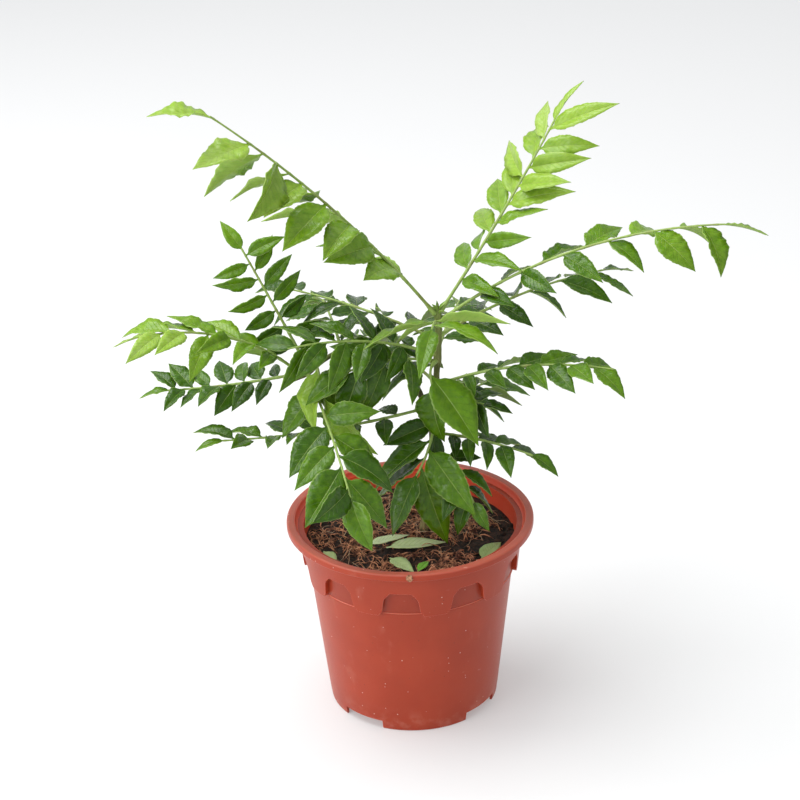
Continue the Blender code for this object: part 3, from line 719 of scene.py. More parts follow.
def leaf_finish(name, tones, underside, under_share, roughness, vein_share, vein_colour):
    """A leaf's material. tones run from the darkest, old or in painted shade, to the youngest."""
    leaf = Finish(name)
    growth = leaf.node("ShaderNodeAttribute", {"attribute_name": "growth"}, output="Color")
    lightness, chance, below = [leaf.part_of(growth, index) for index in range(3)]
    where = leaf.node("ShaderNodeUVMap", {"uv_map": "blade"})
    u, v = leaf.part_of(where, 0), leaf.part_of(where, 1)
    off_rib = abs(v - 0.5) * 2
    rib = off_rib.ramp(0.045, 0.010)
    slant = (u * VEIN_PAIRS - off_rib * VEIN_SLANT + chance).rest()
    veins = abs(slant - 0.5).ramp(0.40, 0.50) * off_rib.ramp(0.95, 0.6) * u.ramp(0.08, 0.2)
    margin = off_rib.ramp(0.90, 0.98)
    mottle = leaf.cloud(260, 3)
    net = leaf.cloud(1500, 2)
    age = lightness + (mottle - 0.5) * 0.34 + (net - 0.5) * 0.12 + u * 0.06 - 0.03
    stops = [(index / (len(tones) - 1), tone) for index, tone in enumerate(tones)]
    colour = leaf.node("ShaderNodeValToRGB", {"stops": stops}, {0: age})
    colour = leaf.mix(below * under_share, colour, underside)
    colour = leaf.mix(veins * vein_share, colour, vein_colour)
    colour = leaf.mix(rib * 0.30, colour, PALE_LINE)
    colour = leaf.mix(margin * 0.28, colour, PALE_LINE)
    height = rib * -0.6 - veins * 0.5 + (mottle - 0.5) * 1.1 + (net - 0.5) * 0.3
    return leaf.surface(
        Base_Color=colour,
        Roughness=roughness + below * 0.25 + (mottle - 0.5) * 0.15,
        Specular_IOR_Level=0.30,
        Normal=leaf.bump(height, 0.00035, 0.7),
        Subsurface_Weight=0.18,
        Subsurface_Radius=(0.5, 1.0, 0.2),
        Subsurface_Scale=0.0012,
    )


# From the darkest, for old leaves and painted shade deep in the foliage, to the lightest, for young
# lime ones.
LEAF_TONES = (
    paint(28, 56, 3),
    paint(56, 92, 5),
    paint(95, 134, 14),
    paint(136, 168, 52),
    paint(164, 188, 104),
)
fresh_leaf = leaf_finish(
    "fresh_leaf",
    LEAF_TONES,
    # A paler lower side, as on a real curry leaf, made paler still as painted sheen.
    underside=paint(154, 180, 94),
    under_share=0.50,
    roughness=0.22,
    vein_share=0.18,
    vein_colour=paint(70, 108, 16),
)
print("leaf finish:", len(fresh_leaf.node_tree.nodes), "nodes")

# %% [markdown]
# ## The stalk of a sprig
#
# The rachis is a thin green rod, thicker at its swollen root and at each joint where a
# leaflet leaves it. A curve with a bevel gives a rod whose radius changes from point to
# point, so the points are set close together round each joint.

# %% Stalk finish
stalk = Finish("green_stalk")
streaks = stalk.cloud(700, 3, stretch=(1, 1, 0.15))
patches = stalk.cloud(60, 2)
stalk_colour = stalk.mix(streaks, paint(104, 134, 46), paint(168, 190, 104))
stalk_colour = stalk.mix(patches.ramp(0.52, 0.75) * 0.6, stalk_colour, paint(112, 96, 48))
green_stalk = stalk.surface(
    Base_Color=stalk_colour,
    Roughness=0.38 + streaks * 0.2,
    Normal=stalk.bump(streaks, 0.0002, 0.6),
)


# %% Rods along curves
def rods(name, lines, round_steps):
    """Rods along lines of points, each with a radius for every point, as one closed mesh."""
    path = bpy.data.curves.new(name, "CURVE")
    path.dimensions = "3D"
    path.bevel_depth = 1.0
    path.bevel_resolution = round_steps
    path.use_fill_caps = True
    for points, radii in lines:
        spline = path.splines.new("POLY")
        spline.points.add(len(points) - 1)
        for index, (point, radius) in enumerate(zip(points, radii)):
            spline.points[index].co = (*point, 1.0)
            spline.points[index].radius = radius
    made = bpy.data.objects.new(name, path)
    bpy.context.scene.collection.objects.link(made)
    only(made)
    bpy.ops.object.convert(target="MESH")
    made = bpy.context.object
    made.data.shade_smooth()
    return made


ROOT_SWELL = 0.0007
ROOT_REACH = 0.004
ROOT_INSIDE_STEM = 0.0022
JOINT_SWELL = 0.00022
JOINT_REACH = 0.0016
BESIDE_JOINT = 0.0014
RACHIS_TIP = 0.00055


def swell(distance, reach):
    """1 at the middle of a swelling, and almost nothing at twice its reach."""
    return math.exp(-((distance / reach) ** 2))


def rachis_object(sprig, leaflets):
    """The sprig's stalk, from inside its stem to its tip."""
    line = rachis_line(sprig)[0]
    length = MM * sprig.length
    start = heading(sprig.azimuth, sprig.rise)
    joints = sorted((leaflet.root - line[0]).length / length for _, leaflet in leaflets)
    even = [step / RACHIS_STEPS for step in range(RACHIS_STEPS + 1)]
    beside = [joint + step * BESIDE_JOINT / length for joint in joints for step in (-1, 0, 1)]
    shares = sorted({round(share, 4) for share in even + beside})
    shares = [share for share in shares if 0.0 <= share <= 1.0]
    points = [line[0] - start * ROOT_INSIDE_STEM]
    radii = [RACHIS_ROOT_RADIUS + ROOT_SWELL]
    for share in shares:
        place = min(share * RACHIS_STEPS, RACHIS_STEPS - 0.001)
        points.append(line[int(place)].lerp(line[int(place) + 1], place % 1.0))
        radius = RACHIS_ROOT_RADIUS * (1 - share) + RACHIS_TIP * share
        radius += ROOT_SWELL * swell(share * length, ROOT_REACH)
        radius += sum(JOINT_SWELL * swell((share - j) * length, JOINT_REACH) for j in joints)
        radii.append(radius)
    return rods(sprig.name + "_rachis", [(points, radii)], 2)


print("stalks swell", JOINT_SWELL / MM, "mm at each joint")


# %% Grow every sprig
YOUNG_NODES = {
    part["node"] for part in frame["record"]["subparts"] if part["material_slot"] == "young_leaf"
}


def dressed_sprig(sprig):
    """The stalk and leaflets of one sprig as one piece."""
    draw = random.Random("look " + sprig.name)
    leaflets = foliage[sprig.name]
    stalk_piece = rachis_object(sprig, leaflets)
    stalk_piece.data.materials.append(green_stalk)
    things = []
    for index, (share, leaflet) in enumerate(leaflets):
        # The leaflet's lightness: its age, with painted shade that darkens leaflets towards the
        # stem.
        lightness = sprig.light_root + (sprig.light_tip - sprig.light_root) * share
        thing = leaflet_object(f"{sprig.name}_{index}", leaflet, lightness, draw)
        thing.data.materials.append(fresh_leaf)
        things.append(thing)
    piece = joined(things + [stalk_piece], "foliage_" + sprig.name)
    node = "sprig_" + sprig.name
    return dress(piece, None, "young_leaf" if node in YOUNG_NODES else "leaf", node)


sprig_pieces = [dressed_sprig(sprig) for sprig in SPRIGS]
print("sprigs:", sum(len(piece.data.polygons) for piece in sprig_pieces), "faces")

# %% [markdown]
# ## The stems
#
# The main stem is a pale brown-green rod. The second one is darker. Both swell a little at
# the soil and where a sprig leaves them, dark rings and pale dots mark the bark, and towards
# the top it is green. Each ends in a bud with a few tiny leaves.


# %% Bark finish
def bark_finish(name, dark, light):
    bark = Finish(name)
    grain = bark.cloud(420, 4, stretch=(1, 1, 0.12))
    dots = bark.cloud(900, 1).ramp(0.66, 0.74)
    rings = bark.cloud(90, 3, stretch=(0.3, 0.3, 1))
    colour = bark.mix(grain.ramp(0.3, 0.7), dark, light)
    colour = bark.mix(rings.ramp(0.50, 0.65) * 0.60, colour, paint(56, 46, 26))
    colour = bark.mix(dots * 0.5, colour, paint(196, 186, 150))
    height_up = bark.part_of(bark.place(), 2)
    colour = bark.mix(height_up.ramp(0.17, 0.29) * 0.75, colour, paint(104, 128, 52))
    return bark.surface(
        Base_Color=colour,
        Roughness=0.62 + grain * 0.2,
        Normal=bark.bump(grain + dots, 0.0004, 0.8),
    )


main_bark = bark_finish("pale_bark", paint(100, 88, 48), paint(158, 148, 98))
side_bark = bark_finish("dark_bark", paint(70, 60, 36), paint(116, 104, 64))
print("two kinds of bark")


# %% Stems with swollen joints
STEM_STEPS = 72
BARK_SHARE = 0.88
NODE_SWELL = 0.00035
NODE_REACH = 0.0032
FOOT_SWELL = 0.0008
FOOT_REACH = 0.006
BARK_LUMP = 0.0002
BARK_LUMPS_A_METRE = 220
TIP_STEPS = ((0.0016, 0.85), (0.0036, 0.60), (0.0058, 0.34), (0.0074, 0.10))


def stem_piece(index, finish):
    """One stem as a rod that narrows to a point in a few steps at its tip."""
    stem = STEMS[index]
    line = smooth_line(stem.points, STEM_STEPS)
    joints = [above_soil(stem, sprig.at)[0] for sprig in SPRIGS if sprig.stem == index]
    radii = []
    for step, point in enumerate(line):
        swells = sum(NODE_SWELL * swell((point - joint).length, NODE_REACH) for joint in joints)
        radius = BARK_SHARE * stem_radius(stem, step / (STEM_STEPS - 1)) + swells
        radius += FOOT_SWELL * swell(point.z - SOIL_LEVEL, FOOT_REACH)
        radii.append(radius + BARK_LUMP * noise.noise(point * BARK_LUMPS_A_METRE))
    ahead = (line[-1] - line[-2]).normalized()
    for reach, share in TIP_STEPS:
        line.append(line[STEM_STEPS - 1] + ahead * reach)
        radii.append(stem.tip_radius * share)
    piece = rods(stem.name + "_bark", [(line, radii)], 4)
    return dress(piece, finish, "bark", stem.name)


stem_piece(0, main_bark)
stem_piece(1, side_bark)
print("stems done")

# %% Young leaves at the growing tips
BUD_LEAVES = ((40, 58, 9), (165, 50, 7), (235, 66, 10), (300, 42, 8), (350, 70, 7), (95, 62, 8))
BUD_START = 0.0015
BUD_SLIM = 0.30
BUD_BEND = 0.5
BUD_LIGHTNESS = 0.45
BUD_SEED = 40


def bud(index):
    """A few tiny leaves round the tip of a stem."""
    top = Vector(STEMS[index].points[-1])
    draw = random.Random(BUD_SEED + index)
    leaves = []
    for azimuth, rise, length in BUD_LEAVES:
        along, face = heading(azimuth, rise), heading(azimuth, rise + 90.0)
        root = top + along * BUD_START
        size = (MM * length, MM * length * BUD_SLIM)
        tiny = Leaflet(root, along, face.cross(along), face, *size, BUD_BEND, BUD_BEND)
        leaves.append(leaflet_object("bud_leaf", tiny, BUD_LIGHTNESS, draw))
        leaves[-1].data.materials.append(fresh_leaf)
    return joined(leaves, STEMS[index].name + "_bud")


for index in range(len(STEMS)):
    dress(bud(index), None, "young_leaf")
print(len(BUD_LEAVES), "tiny leaves on each tip")

# %% [markdown]
# ## The pot
#
# A nursery pot is one thin moulding in terracotta-coloured plastic: a tapered body, a
# rolled lip, a collar with ten windows under it, and a foot ring with four gaps for the
# water. Behind the collar the wall steps out, so the pot is a little wider inside there. A
# pot is round, so it begins as a disc. Its edge is extruded and scaled ring by ring, outside
# and up, over the lip, and down inside to the floor.

# %% The pot's sizes
RIM_RADIUS = 0.0825
POT_HEIGHT = 0.134
FOOT_RADIUS = 0.0572
BODY_TOP_RADIUS = 0.0724
FOOT_BEVEL = 0.0012
WALL = 0.0016
LIP_HEIGHT = 0.005
LIP_WIDTH = 0.0058
COLLAR_PROUD = 0.0036
COLLAR_BOTTOM = 0.097
COLLAR_TOP = POT_HEIGHT - LIP_HEIGHT
RIDGE_PROUD = 0.0008
FOOT_HEIGHT = 0.007
PAD_RADIUS = 0.030
PAD_SLOPE = 0.002
LIP_ROUND = 0.0014
LIP_UNDER_ROUND = 0.0010
ARC_STEPS = 4
POT_SIDES = 160
SHOULDER = 0.1162
SHOULDER_TOP = SHOULDER + 0.0010
UPPER_OUT = 0.0026
UPPER_WALL = 0.0008


def body_radius(height):
    """Outer radius of the pot's tapered body."""
    return FOOT_RADIUS + (BODY_TOP_RADIUS - FOOT_RADIUS) * height / POT_HEIGHT


def inner_radius(height):
    """Inner radius below the shoulder."""
    return body_radius(height) - WALL


def upper_radius(height):
    """Inner radius above the shoulder, where the wall steps out behind the collar."""
    return body_radius(height) + UPPER_OUT - UPPER_WALL


def arc(radius, height, bend, start, end):
    """Points of a round edge of that bend, about a centre, from start to end in degrees."""
    steps = range(ARC_STEPS + 1)
    turns = [math.radians(start + (end - start) * step / ARC_STEPS) for step in steps]
    return [(radius + bend * math.cos(t), height + bend * math.sin(t)) for t in turns]


def ring_by_ring(outline):
    """In edit mode, extrudes the open edge on through points of (radius, height)."""
    pick("EDGE", lambda edge: edge.is_boundary or edge.is_wire)
    mesh = bmesh.from_edit_mesh(bpy.context.edit_object.data)
    first = next(edge for edge in mesh.edges if edge.select).verts[0].co
    radius, height = first.xy.length, first.z
    for next_radius, next_height in outline:
        move = {"value": (0.0, 0.0, next_height - height)}
        bpy.ops.mesh.extrude_region_move(TRANSFORM_OT_translate=move)
        ratio = next_radius / radius
        bpy.ops.transform.resize(value=(ratio, ratio, 1.0), center_override=(0, 0, next_height))
        radius, height = next_radius, next_height


# %% Turn the body
inside_lip = RIM_RADIUS - LIP_WIDTH
pot_floor = FOOT_HEIGHT + WALL
channel = body_radius(FOOT_HEIGHT) - WALL * 1.5
# Under the floor, down inside the foot ring, and up the body
outside = [(PAD_RADIUS + PAD_SLOPE, FOOT_HEIGHT), (channel, FOOT_HEIGHT), (channel - 0.0004, 0.0)]
outside += arc(FOOT_RADIUS - FOOT_BEVEL, FOOT_BEVEL, FOOT_BEVEL, -90, 0)
outside += [(body_radius(level), level) for level in (FOOT_HEIGHT, COLLAR_BOTTOM - 0.0004)]
# The thin ridge across the windows' lower ends
outside += [(body_radius(COLLAR_BOTTOM) + RIDGE_PROUD, COLLAR_BOTTOM)]
outside += [(body_radius(COLLAR_BOTTOM) + RIDGE_PROUD, COLLAR_BOTTOM + 0.0005)]
outside += [(body_radius(COLLAR_BOTTOM) + 0.0003, COLLAR_BOTTOM + 0.0009)]
# Behind the collar, out at the shoulder and up to the lip
outside += [(body_radius(SHOULDER) + 0.0002, SHOULDER)]
outside += [(body_radius(level) + UPPER_OUT, level) for level in (SHOULDER + 0.0004, COLLAR_TOP)]
lip = arc(RIM_RADIUS - LIP_UNDER_ROUND, COLLAR_TOP + LIP_UNDER_ROUND, LIP_UNDER_ROUND, -90, 0)
lip += arc(RIM_RADIUS - LIP_ROUND, POT_HEIGHT - LIP_ROUND, LIP_ROUND, 0, 90)
lip += arc(inside_lip + LIP_ROUND, POT_HEIGHT - LIP_ROUND, LIP_ROUND, 90, 180)
# Down inside: the lip's small step, the shoulder, the floor and the pad
inside = [
    (inside_lip - 0.0008, POT_HEIGHT - 0.0034),
    (inside_lip - 0.0016, POT_HEIGHT - 0.0040),
    (inside_lip - 0.0018, POT_HEIGHT - 0.0052),
    (upper_radius(POT_HEIGHT - 0.0060), POT_HEIGHT - 0.0060),
    (upper_radius(SHOULDER_TOP), SHOULDER_TOP),
    (inner_radius(SHOULDER_TOP - 0.0003), SHOULDER_TOP - 0.0003),
    (inner_radius(pot_floor), pot_floor),
    (PAD_RADIUS - WALL + PAD_SLOPE, pot_floor),
    (PAD_RADIUS - WALL, WALL),
]
bpy.ops.object.select_all(action="DESELECT")
bpy.ops.mesh.primitive_circle_add(vertices=POT_SIDES, radius=PAD_RADIUS, fill_type="NGON")
pot_body = bpy.context.object
bpy.ops.object.mode_set(mode="EDIT")
ring_by_ring(outside + lip + inside)
pick("EDGE", lambda edge: edge.is_boundary)
bpy.ops.mesh.edge_face_add()
bpy.ops.mesh.select_all(action="SELECT")
bpy.ops.mesh.normals_make_consistent(inside=False)
bpy.ops.object.mode_set(mode="OBJECT")
print("pot body:", len(pot_body.data.polygons), "faces")

# %% [markdown]
# The foot's gaps and the holes in the floor are cut away with plain blocks and rods. All
# of them are joined first, so that one Boolean does the work.

# %% Gaps in the foot and holes in the floor
NOTCH_COUNT = 4
NOTCH_WIDTH = 0.0307
NOTCH_TURN = -38.0
NOTCH_MIDDLE = 0.062
NOTCH_REACH = 0.028
NOTCH_TOP = FOOT_HEIGHT - 0.0006
NOTCH_BOTTOM = -0.004
DRAIN_COUNT = 8
DRAIN_RADIUS = 0.004
DRAIN_SIDES = 24
DRAIN_MIDDLE = 0.008
DRAIN_LENGTH = 0.006


def round_the_pot(radius, degrees, height):
    """A place at that radius, with 0 degrees at the front."""
    turn = math.radians(degrees - 90.0)
    return (radius * math.cos(turn), radius * math.sin(turn), height)


def cut(thing, tools):
    """Takes the tools out of the thing, and deletes them."""
    tool = joined(tools, "tool")
    modify(thing, "BOOLEAN", operation="DIFFERENCE", solver="EXACT", object=tool)
    bpy.data.objects.remove(tool)


tools = []
for index in range(NOTCH_COUNT):
    degrees = NOTCH_TURN + index * 360.0 / NOTCH_COUNT
    bpy.ops.mesh.primitive_cube_add(
        size=1.0,
        location=round_the_pot(NOTCH_MIDDLE, degrees, (NOTCH_TOP + NOTCH_BOTTOM) / 2),
        rotation=(0, 0, math.radians(degrees)),
        scale=(NOTCH_WIDTH, NOTCH_REACH, NOTCH_TOP - NOTCH_BOTTOM),
    )
    tools.append(bpy.context.object)
for index in range(DRAIN_COUNT):
    degrees = NOTCH_TURN + index * 360.0 / DRAIN_COUNT
    bpy.ops.mesh.primitive_cylinder_add(
        vertices=DRAIN_SIDES,
        radius=DRAIN_RADIUS,
        depth=DRAIN_LENGTH,
        location=round_the_pot((PAD_RADIUS + channel) / 2, degrees, DRAIN_MIDDLE),
    )
    tools.append(bpy.context.object)
cut(pot_body, tools)
print("after the cuts:", len(pot_body.data.polygons), "faces")

# %% [markdown]
# The collar is a band round the body. Its ten windows are cut with one shape, drawn flat,
# its middle corners rounded, pushed through the band and copied round. Only the band is cut,
# so the body shows at the back of each window, as it does on the real pot.

# %% The collar and its windows
WINDOW_COUNT = 10
WINDOW_TURN = -6.0
WINDOW_CORNERS = ((5.5, 0.115), (8.8, 0.110), (10.0, 0.100), (12.6, 0.0962), (12.9, 0.093))
WINDOW_ROUND = 0.0012
ROUND_FROM, ROUND_TO = 0.0955, 0.111
WINDOW_BACK = -0.060
WINDOW_FRONT = -0.090
BAND_SUNK = 0.0006
BAND_TOP = COLLAR_TOP + 0.0008
EDGE_ROUND = 0.0008

bpy.ops.object.select_all(action="DESELECT")
bpy.ops.mesh.primitive_circle_add(
    vertices=POT_SIDES,
    radius=body_radius(COLLAR_BOTTOM) - BAND_SUNK,
    fill_type="NOTHING",
    location=(0, 0, COLLAR_BOTTOM),
)
collar = in_place(bpy.context.object)
bpy.ops.object.mode_set(mode="EDIT")
ring_by_ring([
    (body_radius(COLLAR_BOTTOM) + COLLAR_PROUD, COLLAR_BOTTOM),
    (body_radius(COLLAR_TOP) + COLLAR_PROUD, BAND_TOP),
    (body_radius(COLLAR_TOP) - BAND_SUNK, BAND_TOP),
    (body_radius(COLLAR_BOTTOM) - BAND_SUNK, COLLAR_BOTTOM),
])
bpy.ops.mesh.select_all(action="SELECT")
bpy.ops.mesh.remove_doubles(threshold=1e-6)
bpy.ops.mesh.normals_make_consistent(inside=False)
bpy.ops.object.mode_set(mode="OBJECT")

collar_middle = body_radius(0.105) + COLLAR_PROUD
half = [(collar_middle * math.sin(math.radians(turn)), z) for turn, z in WINDOW_CORNERS]
window_edge = half + [(-x, z) for x, z in reversed(half)]
window_mesh = bpy.data.meshes.new("window")
window_points = [(x, WINDOW_BACK, z) for x, z in window_edge]
window_mesh.from_pydata(window_points, [], [range(len(window_points))])
window = bpy.data.objects.new("window", window_mesh)
bpy.context.scene.collection.objects.link(window)
only(window)
bpy.ops.object.mode_set(mode="EDIT")
pick("VERT", lambda vert: ROUND_FROM < vert.co.z < ROUND_TO)
bpy.ops.mesh.bevel(offset=WINDOW_ROUND, segments=3, affect="VERTICES")
bpy.ops.mesh.select_all(action="SELECT")
push = {"value": (0.0, WINDOW_FRONT - WINDOW_BACK, 0.0)}
bpy.ops.mesh.extrude_region_move(TRANSFORM_OT_translate=push)
bpy.ops.mesh.select_all(action="SELECT")
bpy.ops.mesh.normals_make_consistent(inside=False)
bpy.ops.object.mode_set(mode="OBJECT")
windows = []
for index in range(WINDOW_COUNT):
    turned = window.copy()
    turned.data = window.data.copy()
    turn = Matrix.Rotation(math.radians(WINDOW_TURN + index * 360.0 / WINDOW_COUNT), 4, "Z")
    turned.data.transform(turn)
    bpy.context.scene.collection.objects.link(turned)
    windows.append(turned)
bpy.data.objects.remove(window)
cut(collar, windows)
modify(
    collar,
    "BEVEL",
    width=EDGE_ROUND,
    segments=3,
    limit_method="ANGLE",
    angle_limit=math.radians(35),
)
print("collar:", len(collar.data.polygons), "faces")

# %% [markdown]
# ## Terracotta-coloured plastic
#
# The plastic is a dull red-brown with a soft sheen. Painted shade darkens the wall behind
# the windows, and painted light makes the inner side and the lip's top lighter, with a
# painted highlight along the windows' rounded edges. Such a place is known by its height,
# by its distance from the pot's axis, or by how far its face turns outward. Handling has
# left pale rubbed patches, a worn foot, short scuffs, and specks of dust and soil. The
# specks are cells of a Voronoi pattern, kept only where the cell's own random value is high.


# %% Plastic finish
def specks(finish, scale, size, few):
    """1 inside small dots. few is the share of the cells that stay empty."""
    where = finish.place()
    pattern = {"voronoi_dimensions": "3D", "feature": "F1"}
    near = finish.node("ShaderNodeTexVoronoi", pattern, {"Vector": where, "Scale": scale})
    colour = Wire(finish, near.socket.node.outputs[1])
    chance = finish.part_of(colour, 0)
    return near.ramp(size, size * 0.5) * chance.ramp(few, few + 0.02)


plastic = Finish("terracotta_plastic")
height_up = plastic.part_of(plastic.place(), 2)
flat_place = plastic.vector_maths("MULTIPLY", plastic.place(), (1.0, 1.0, 0.0))
outward = plastic.vector_maths("NORMALIZE", flat_place)
facing = plastic.node("ShaderNodeTexCoord", output="Normal")
turned_out = plastic.vector_maths("DOT_PRODUCT", facing, outward, output="Value")
from_axis = plastic.vector_maths("LENGTH", flat_place, output="Value")
proud = from_axis - (FOOT_RADIUS + height_up * ((BODY_TOP_RADIUS - FOOT_RADIUS) / POT_HEIGHT))
# Painted shade: the wall at the back of each window is darkened.
by_windows = height_up.ramp(COLLAR_BOTTOM - 0.001, COLLAR_BOTTOM) * height_up.ramp(0.118, 0.116)
window_shade = by_windows * proud.ramp(0.0022, 0.0012) * turned_out.ramp(0.5, 0.8)
# Painted highlight: a light line along the collar's rounded edges.
rounded = turned_out.ramp(0.99, 0.95) * turned_out.ramp(0.10, 0.30)
edge_highlight = rounded * height_up.ramp(0.090, 0.0935) * height_up.ramp(0.128, 0.125)
# Painted light: the inside of the pot is lighter, as if lit through the thin plastic.
lit_inner_side = turned_out.ramp(-0.3, -0.6)
# Painted light: the lip's upward face is lighter, as if lit from above.
lit_lip_top = height_up.ramp(0.1325, 0.1338)
swirl = plastic.cloud(28, 4)
fine = plastic.cloud(900, 2)
rubbed = plastic.cloud(75, 5, stretch=(1, 1, 0.5)).ramp(0.60, 0.80)
foot_wear = height_up.ramp(0.022, 0.0) * plastic.cloud(110, 4).ramp(0.45, 0.70)
scuffs = plastic.cloud(230, 4, stretch=(0.45, 0.45, 1)).ramp(0.72, 0.80)
dust = specks(plastic, 260, 0.12, 0.80)
dirt = specks(plastic, 300, 0.13, 0.91)
plastic_colour = plastic.mix(swirl.ramp(0.35, 0.65), paint(158, 53, 24), paint(165, 58, 28))
layers = (
    (window_shade * 0.30, paint(120, 38, 20)),
    (lit_inner_side * 0.85, paint(234, 92, 66)),
    (edge_highlight * 0.80, paint(220, 128, 106)),
    (rubbed * 0.22, paint(206, 138, 118)),
    (lit_lip_top * 0.30, paint(208, 134, 118)),
    (foot_wear * 0.25, paint(206, 146, 126)),
    (scuffs * 0.30, paint(220, 172, 156)),
    (dust * 0.75, paint(232, 208, 196)),
    (dirt * 0.80, paint(70, 40, 30)),
)
for share, colour in layers:
    plastic_colour = plastic.mix(share, plastic_colour, colour)
pot_plastic = plastic.surface(
    Base_Color=plastic_colour,
    Roughness=0.32 + rubbed * 0.14 + fine * 0.12,
    Specular_IOR_Level=0.35,
    Subsurface_Weight=0.35,
    Subsurface_Radius=(1.0, 0.22, 0.10),
    Subsurface_Scale=0.004,
    Normal=plastic.bump(fine * 0.3 + swirl + dust * 0.4, 0.00025, 0.5),
)
for piece in (pot_body, collar):
    only(piece)
    bpy.ops.object.shade_smooth_by_angle(angle=math.radians(40))
    modify(piece, "WEIGHTED_NORMAL", keep_sharp=True)
pot_body.name, collar.name = "pot_body", "pot_collar"
dress(pot_body, pot_plastic, "pot_plastic", "pot")
dress(collar, pot_plastic, "pot_plastic", "pot")
print("pot done")

# %% [markdown]
# ## The soil
#
# The pot is filled with dark peat and coconut fibre. The body of the soil is turned like
# the pot. Its top is then roughened point by point with noise, and ends in a level strip
# along the pot's wall, just above the shoulder. Crumbs and fibres are laid on it afterwards.

# %% Turn the soil and roughen its top
SOIL_EDGE_DROP = 0.0015
SOIL_BRIM = SHOULDER_TOP + 0.0005
SOIL_SIDE_GAP = 0.0006
TOP_RINGS = 40
SOIL_SIDES = 120
LUMPS_A_METRE = 150
LUMP_HEIGHT = 0.0022
LUMP_LIMIT = 0.0004


def soil_height(x, y):
    """The uneven top of the potting mix, a little higher round the stems."""
    ripple = 0.0011 * math.sin(210 * x + 1.0) * math.cos(185 * y - 0.6)
    crumbs = 0.0007 * math.sin(520 * x + 340 * y) * math.sin(430 * y - 260 * x + 2.0)
    mound = 0.0020 * math.exp(-((x - 0.009) ** 2 + (y - 0.007) ** 2) / 0.0006)
    return SOIL_LEVEL - 0.0012 + ripple + crumbs + mound


soil_edge = upper_radius(SHOULDER_TOP) - SOIL_SIDE_GAP
slope_start = soil_edge * 6 / 7


def rough_soil(x, y):
    """The top of the soil with its lumps and hollows."""
    slope = max(math.hypot(x, y) - slope_start, 0.0) / (soil_edge - slope_start)
    lumps = noise.fractal(Vector((x, y, 0.3)) * LUMPS_A_METRE, 1.0, 2.1, 4)
    lowest = SOIL_BRIM + 0.0003 - 0.6 * max(0.066 - math.hypot(x, y), 0.0)
    height = soil_height(x, y) - SOIL_EDGE_DROP * slope
    return max(height + min(LUMP_HEIGHT * lumps, LUMP_LIMIT), lowest)


low_pad = WALL + GAP
low_floor = pot_floor + GAP
soil_outline = [(PAD_RADIUS - WALL + 0.0014, low_floor)]
soil_outline += [(inner_radius(low_floor) - SOIL_SIDE_GAP, low_floor)]
soil_outline += [(inner_radius(SHOULDER_TOP) - SOIL_SIDE_GAP, SHOULDER_TOP), (soil_edge, SOIL_BRIM)]
steps = [1 - step / TOP_RINGS for step in range(1, TOP_RINGS)]
soil_outline += [(soil_edge * step, SOIL_LEVEL) for step in steps]
bpy.ops.object.select_all(action="DESELECT")
bpy.ops.mesh.primitive_circle_add(
    vertices=SOIL_SIDES,
    radius=PAD_RADIUS - WALL - SOIL_SIDE_GAP,
    fill_type="NGON",
    location=(0, 0, low_pad),
)
soil = in_place(bpy.context.object)
bpy.ops.object.mode_set(mode="EDIT")
ring_by_ring(soil_outline)
pick("EDGE", lambda edge: edge.is_boundary)
bpy.ops.mesh.edge_face_add()
bpy.ops.mesh.select_all(action="SELECT")
bpy.ops.mesh.normals_make_consistent(inside=False)
bpy.ops.object.mode_set(mode="OBJECT")
for vert in soil.data.vertices:
    if vert.co.z > SOIL_LEVEL - 0.0001:
        vert.co.z = rough_soil(vert.co.x, vert.co.y)
soil.data.shade_smooth()
soil.name = "soil_body"
print("soil:", len(soil.data.polygons), "faces")

# %% Soil finish
peat = Finish("peat")
lumps = peat.cloud(320, 5)
grains = peat.cloud(1600, 3)
peat_colour = peat.mix(lumps.ramp(0.38, 0.64), paint(12, 7, 5), paint(64, 40, 28))
peat_colour = peat.mix(grains.ramp(0.58, 0.72) * 0.6, peat_colour, paint(104, 66, 44))
potting_mix = peat.surface(
    Base_Color=peat_colour,
    Roughness=0.92 - grains * 0.15,
    Normal=peat.bump(lumps + grains * 0.6, 0.0016, 1.0),
)
dress(soil, potting_mix, "soil", "soil")
print("potting mix:", len(potting_mix.node_tree.nodes), "nodes")

# %% [markdown]
# ## Crumbs and coir
#
# Crumbs of peat are one dented ball, copied with other sizes and turns. Coir fibres are
# fine curved rods: most are short, rusty and lie in tufts, and a few are long and pale.
# Nothing is laid where a fallen leaf lies. A dry clump of the mix sticks to the front of the
# pot's lip.

# %% A crumb, copied
scatter = random.Random(11)
CRUMBS = 520
SMALLEST_CRUMB = 0.0004
CRUMB_RANGE = 0.0014
FROM_WALL = 0.0015
LEAF_CORE = 0.15
FALLEN_NODES = [f"fallen_leaf_{index}" for index in range(1, 6)]

# The dropped leaflets, in millimetres and degrees, with a lightness from 0 to 1
Fallen = namedtuple("Fallen", "x y azimuth tilt length width curl fold lightness")
FALLEN = (
    Fallen(-22, -23, 13, -1, 47, 15, 4, 14, 0.75),
    Fallen(-14, -31, 311, 2, 24, 11, 10, 10, 0.60),
    Fallen(4, -49, 62, 4, 16, 6, 12, 24, 0.0),
    Fallen(46, -33, 58, 8, 27, 12, 18, 10, 0.50),
    Fallen(-58, -16, 294, 6, 21, 10, 10, 6, 0.45),
)


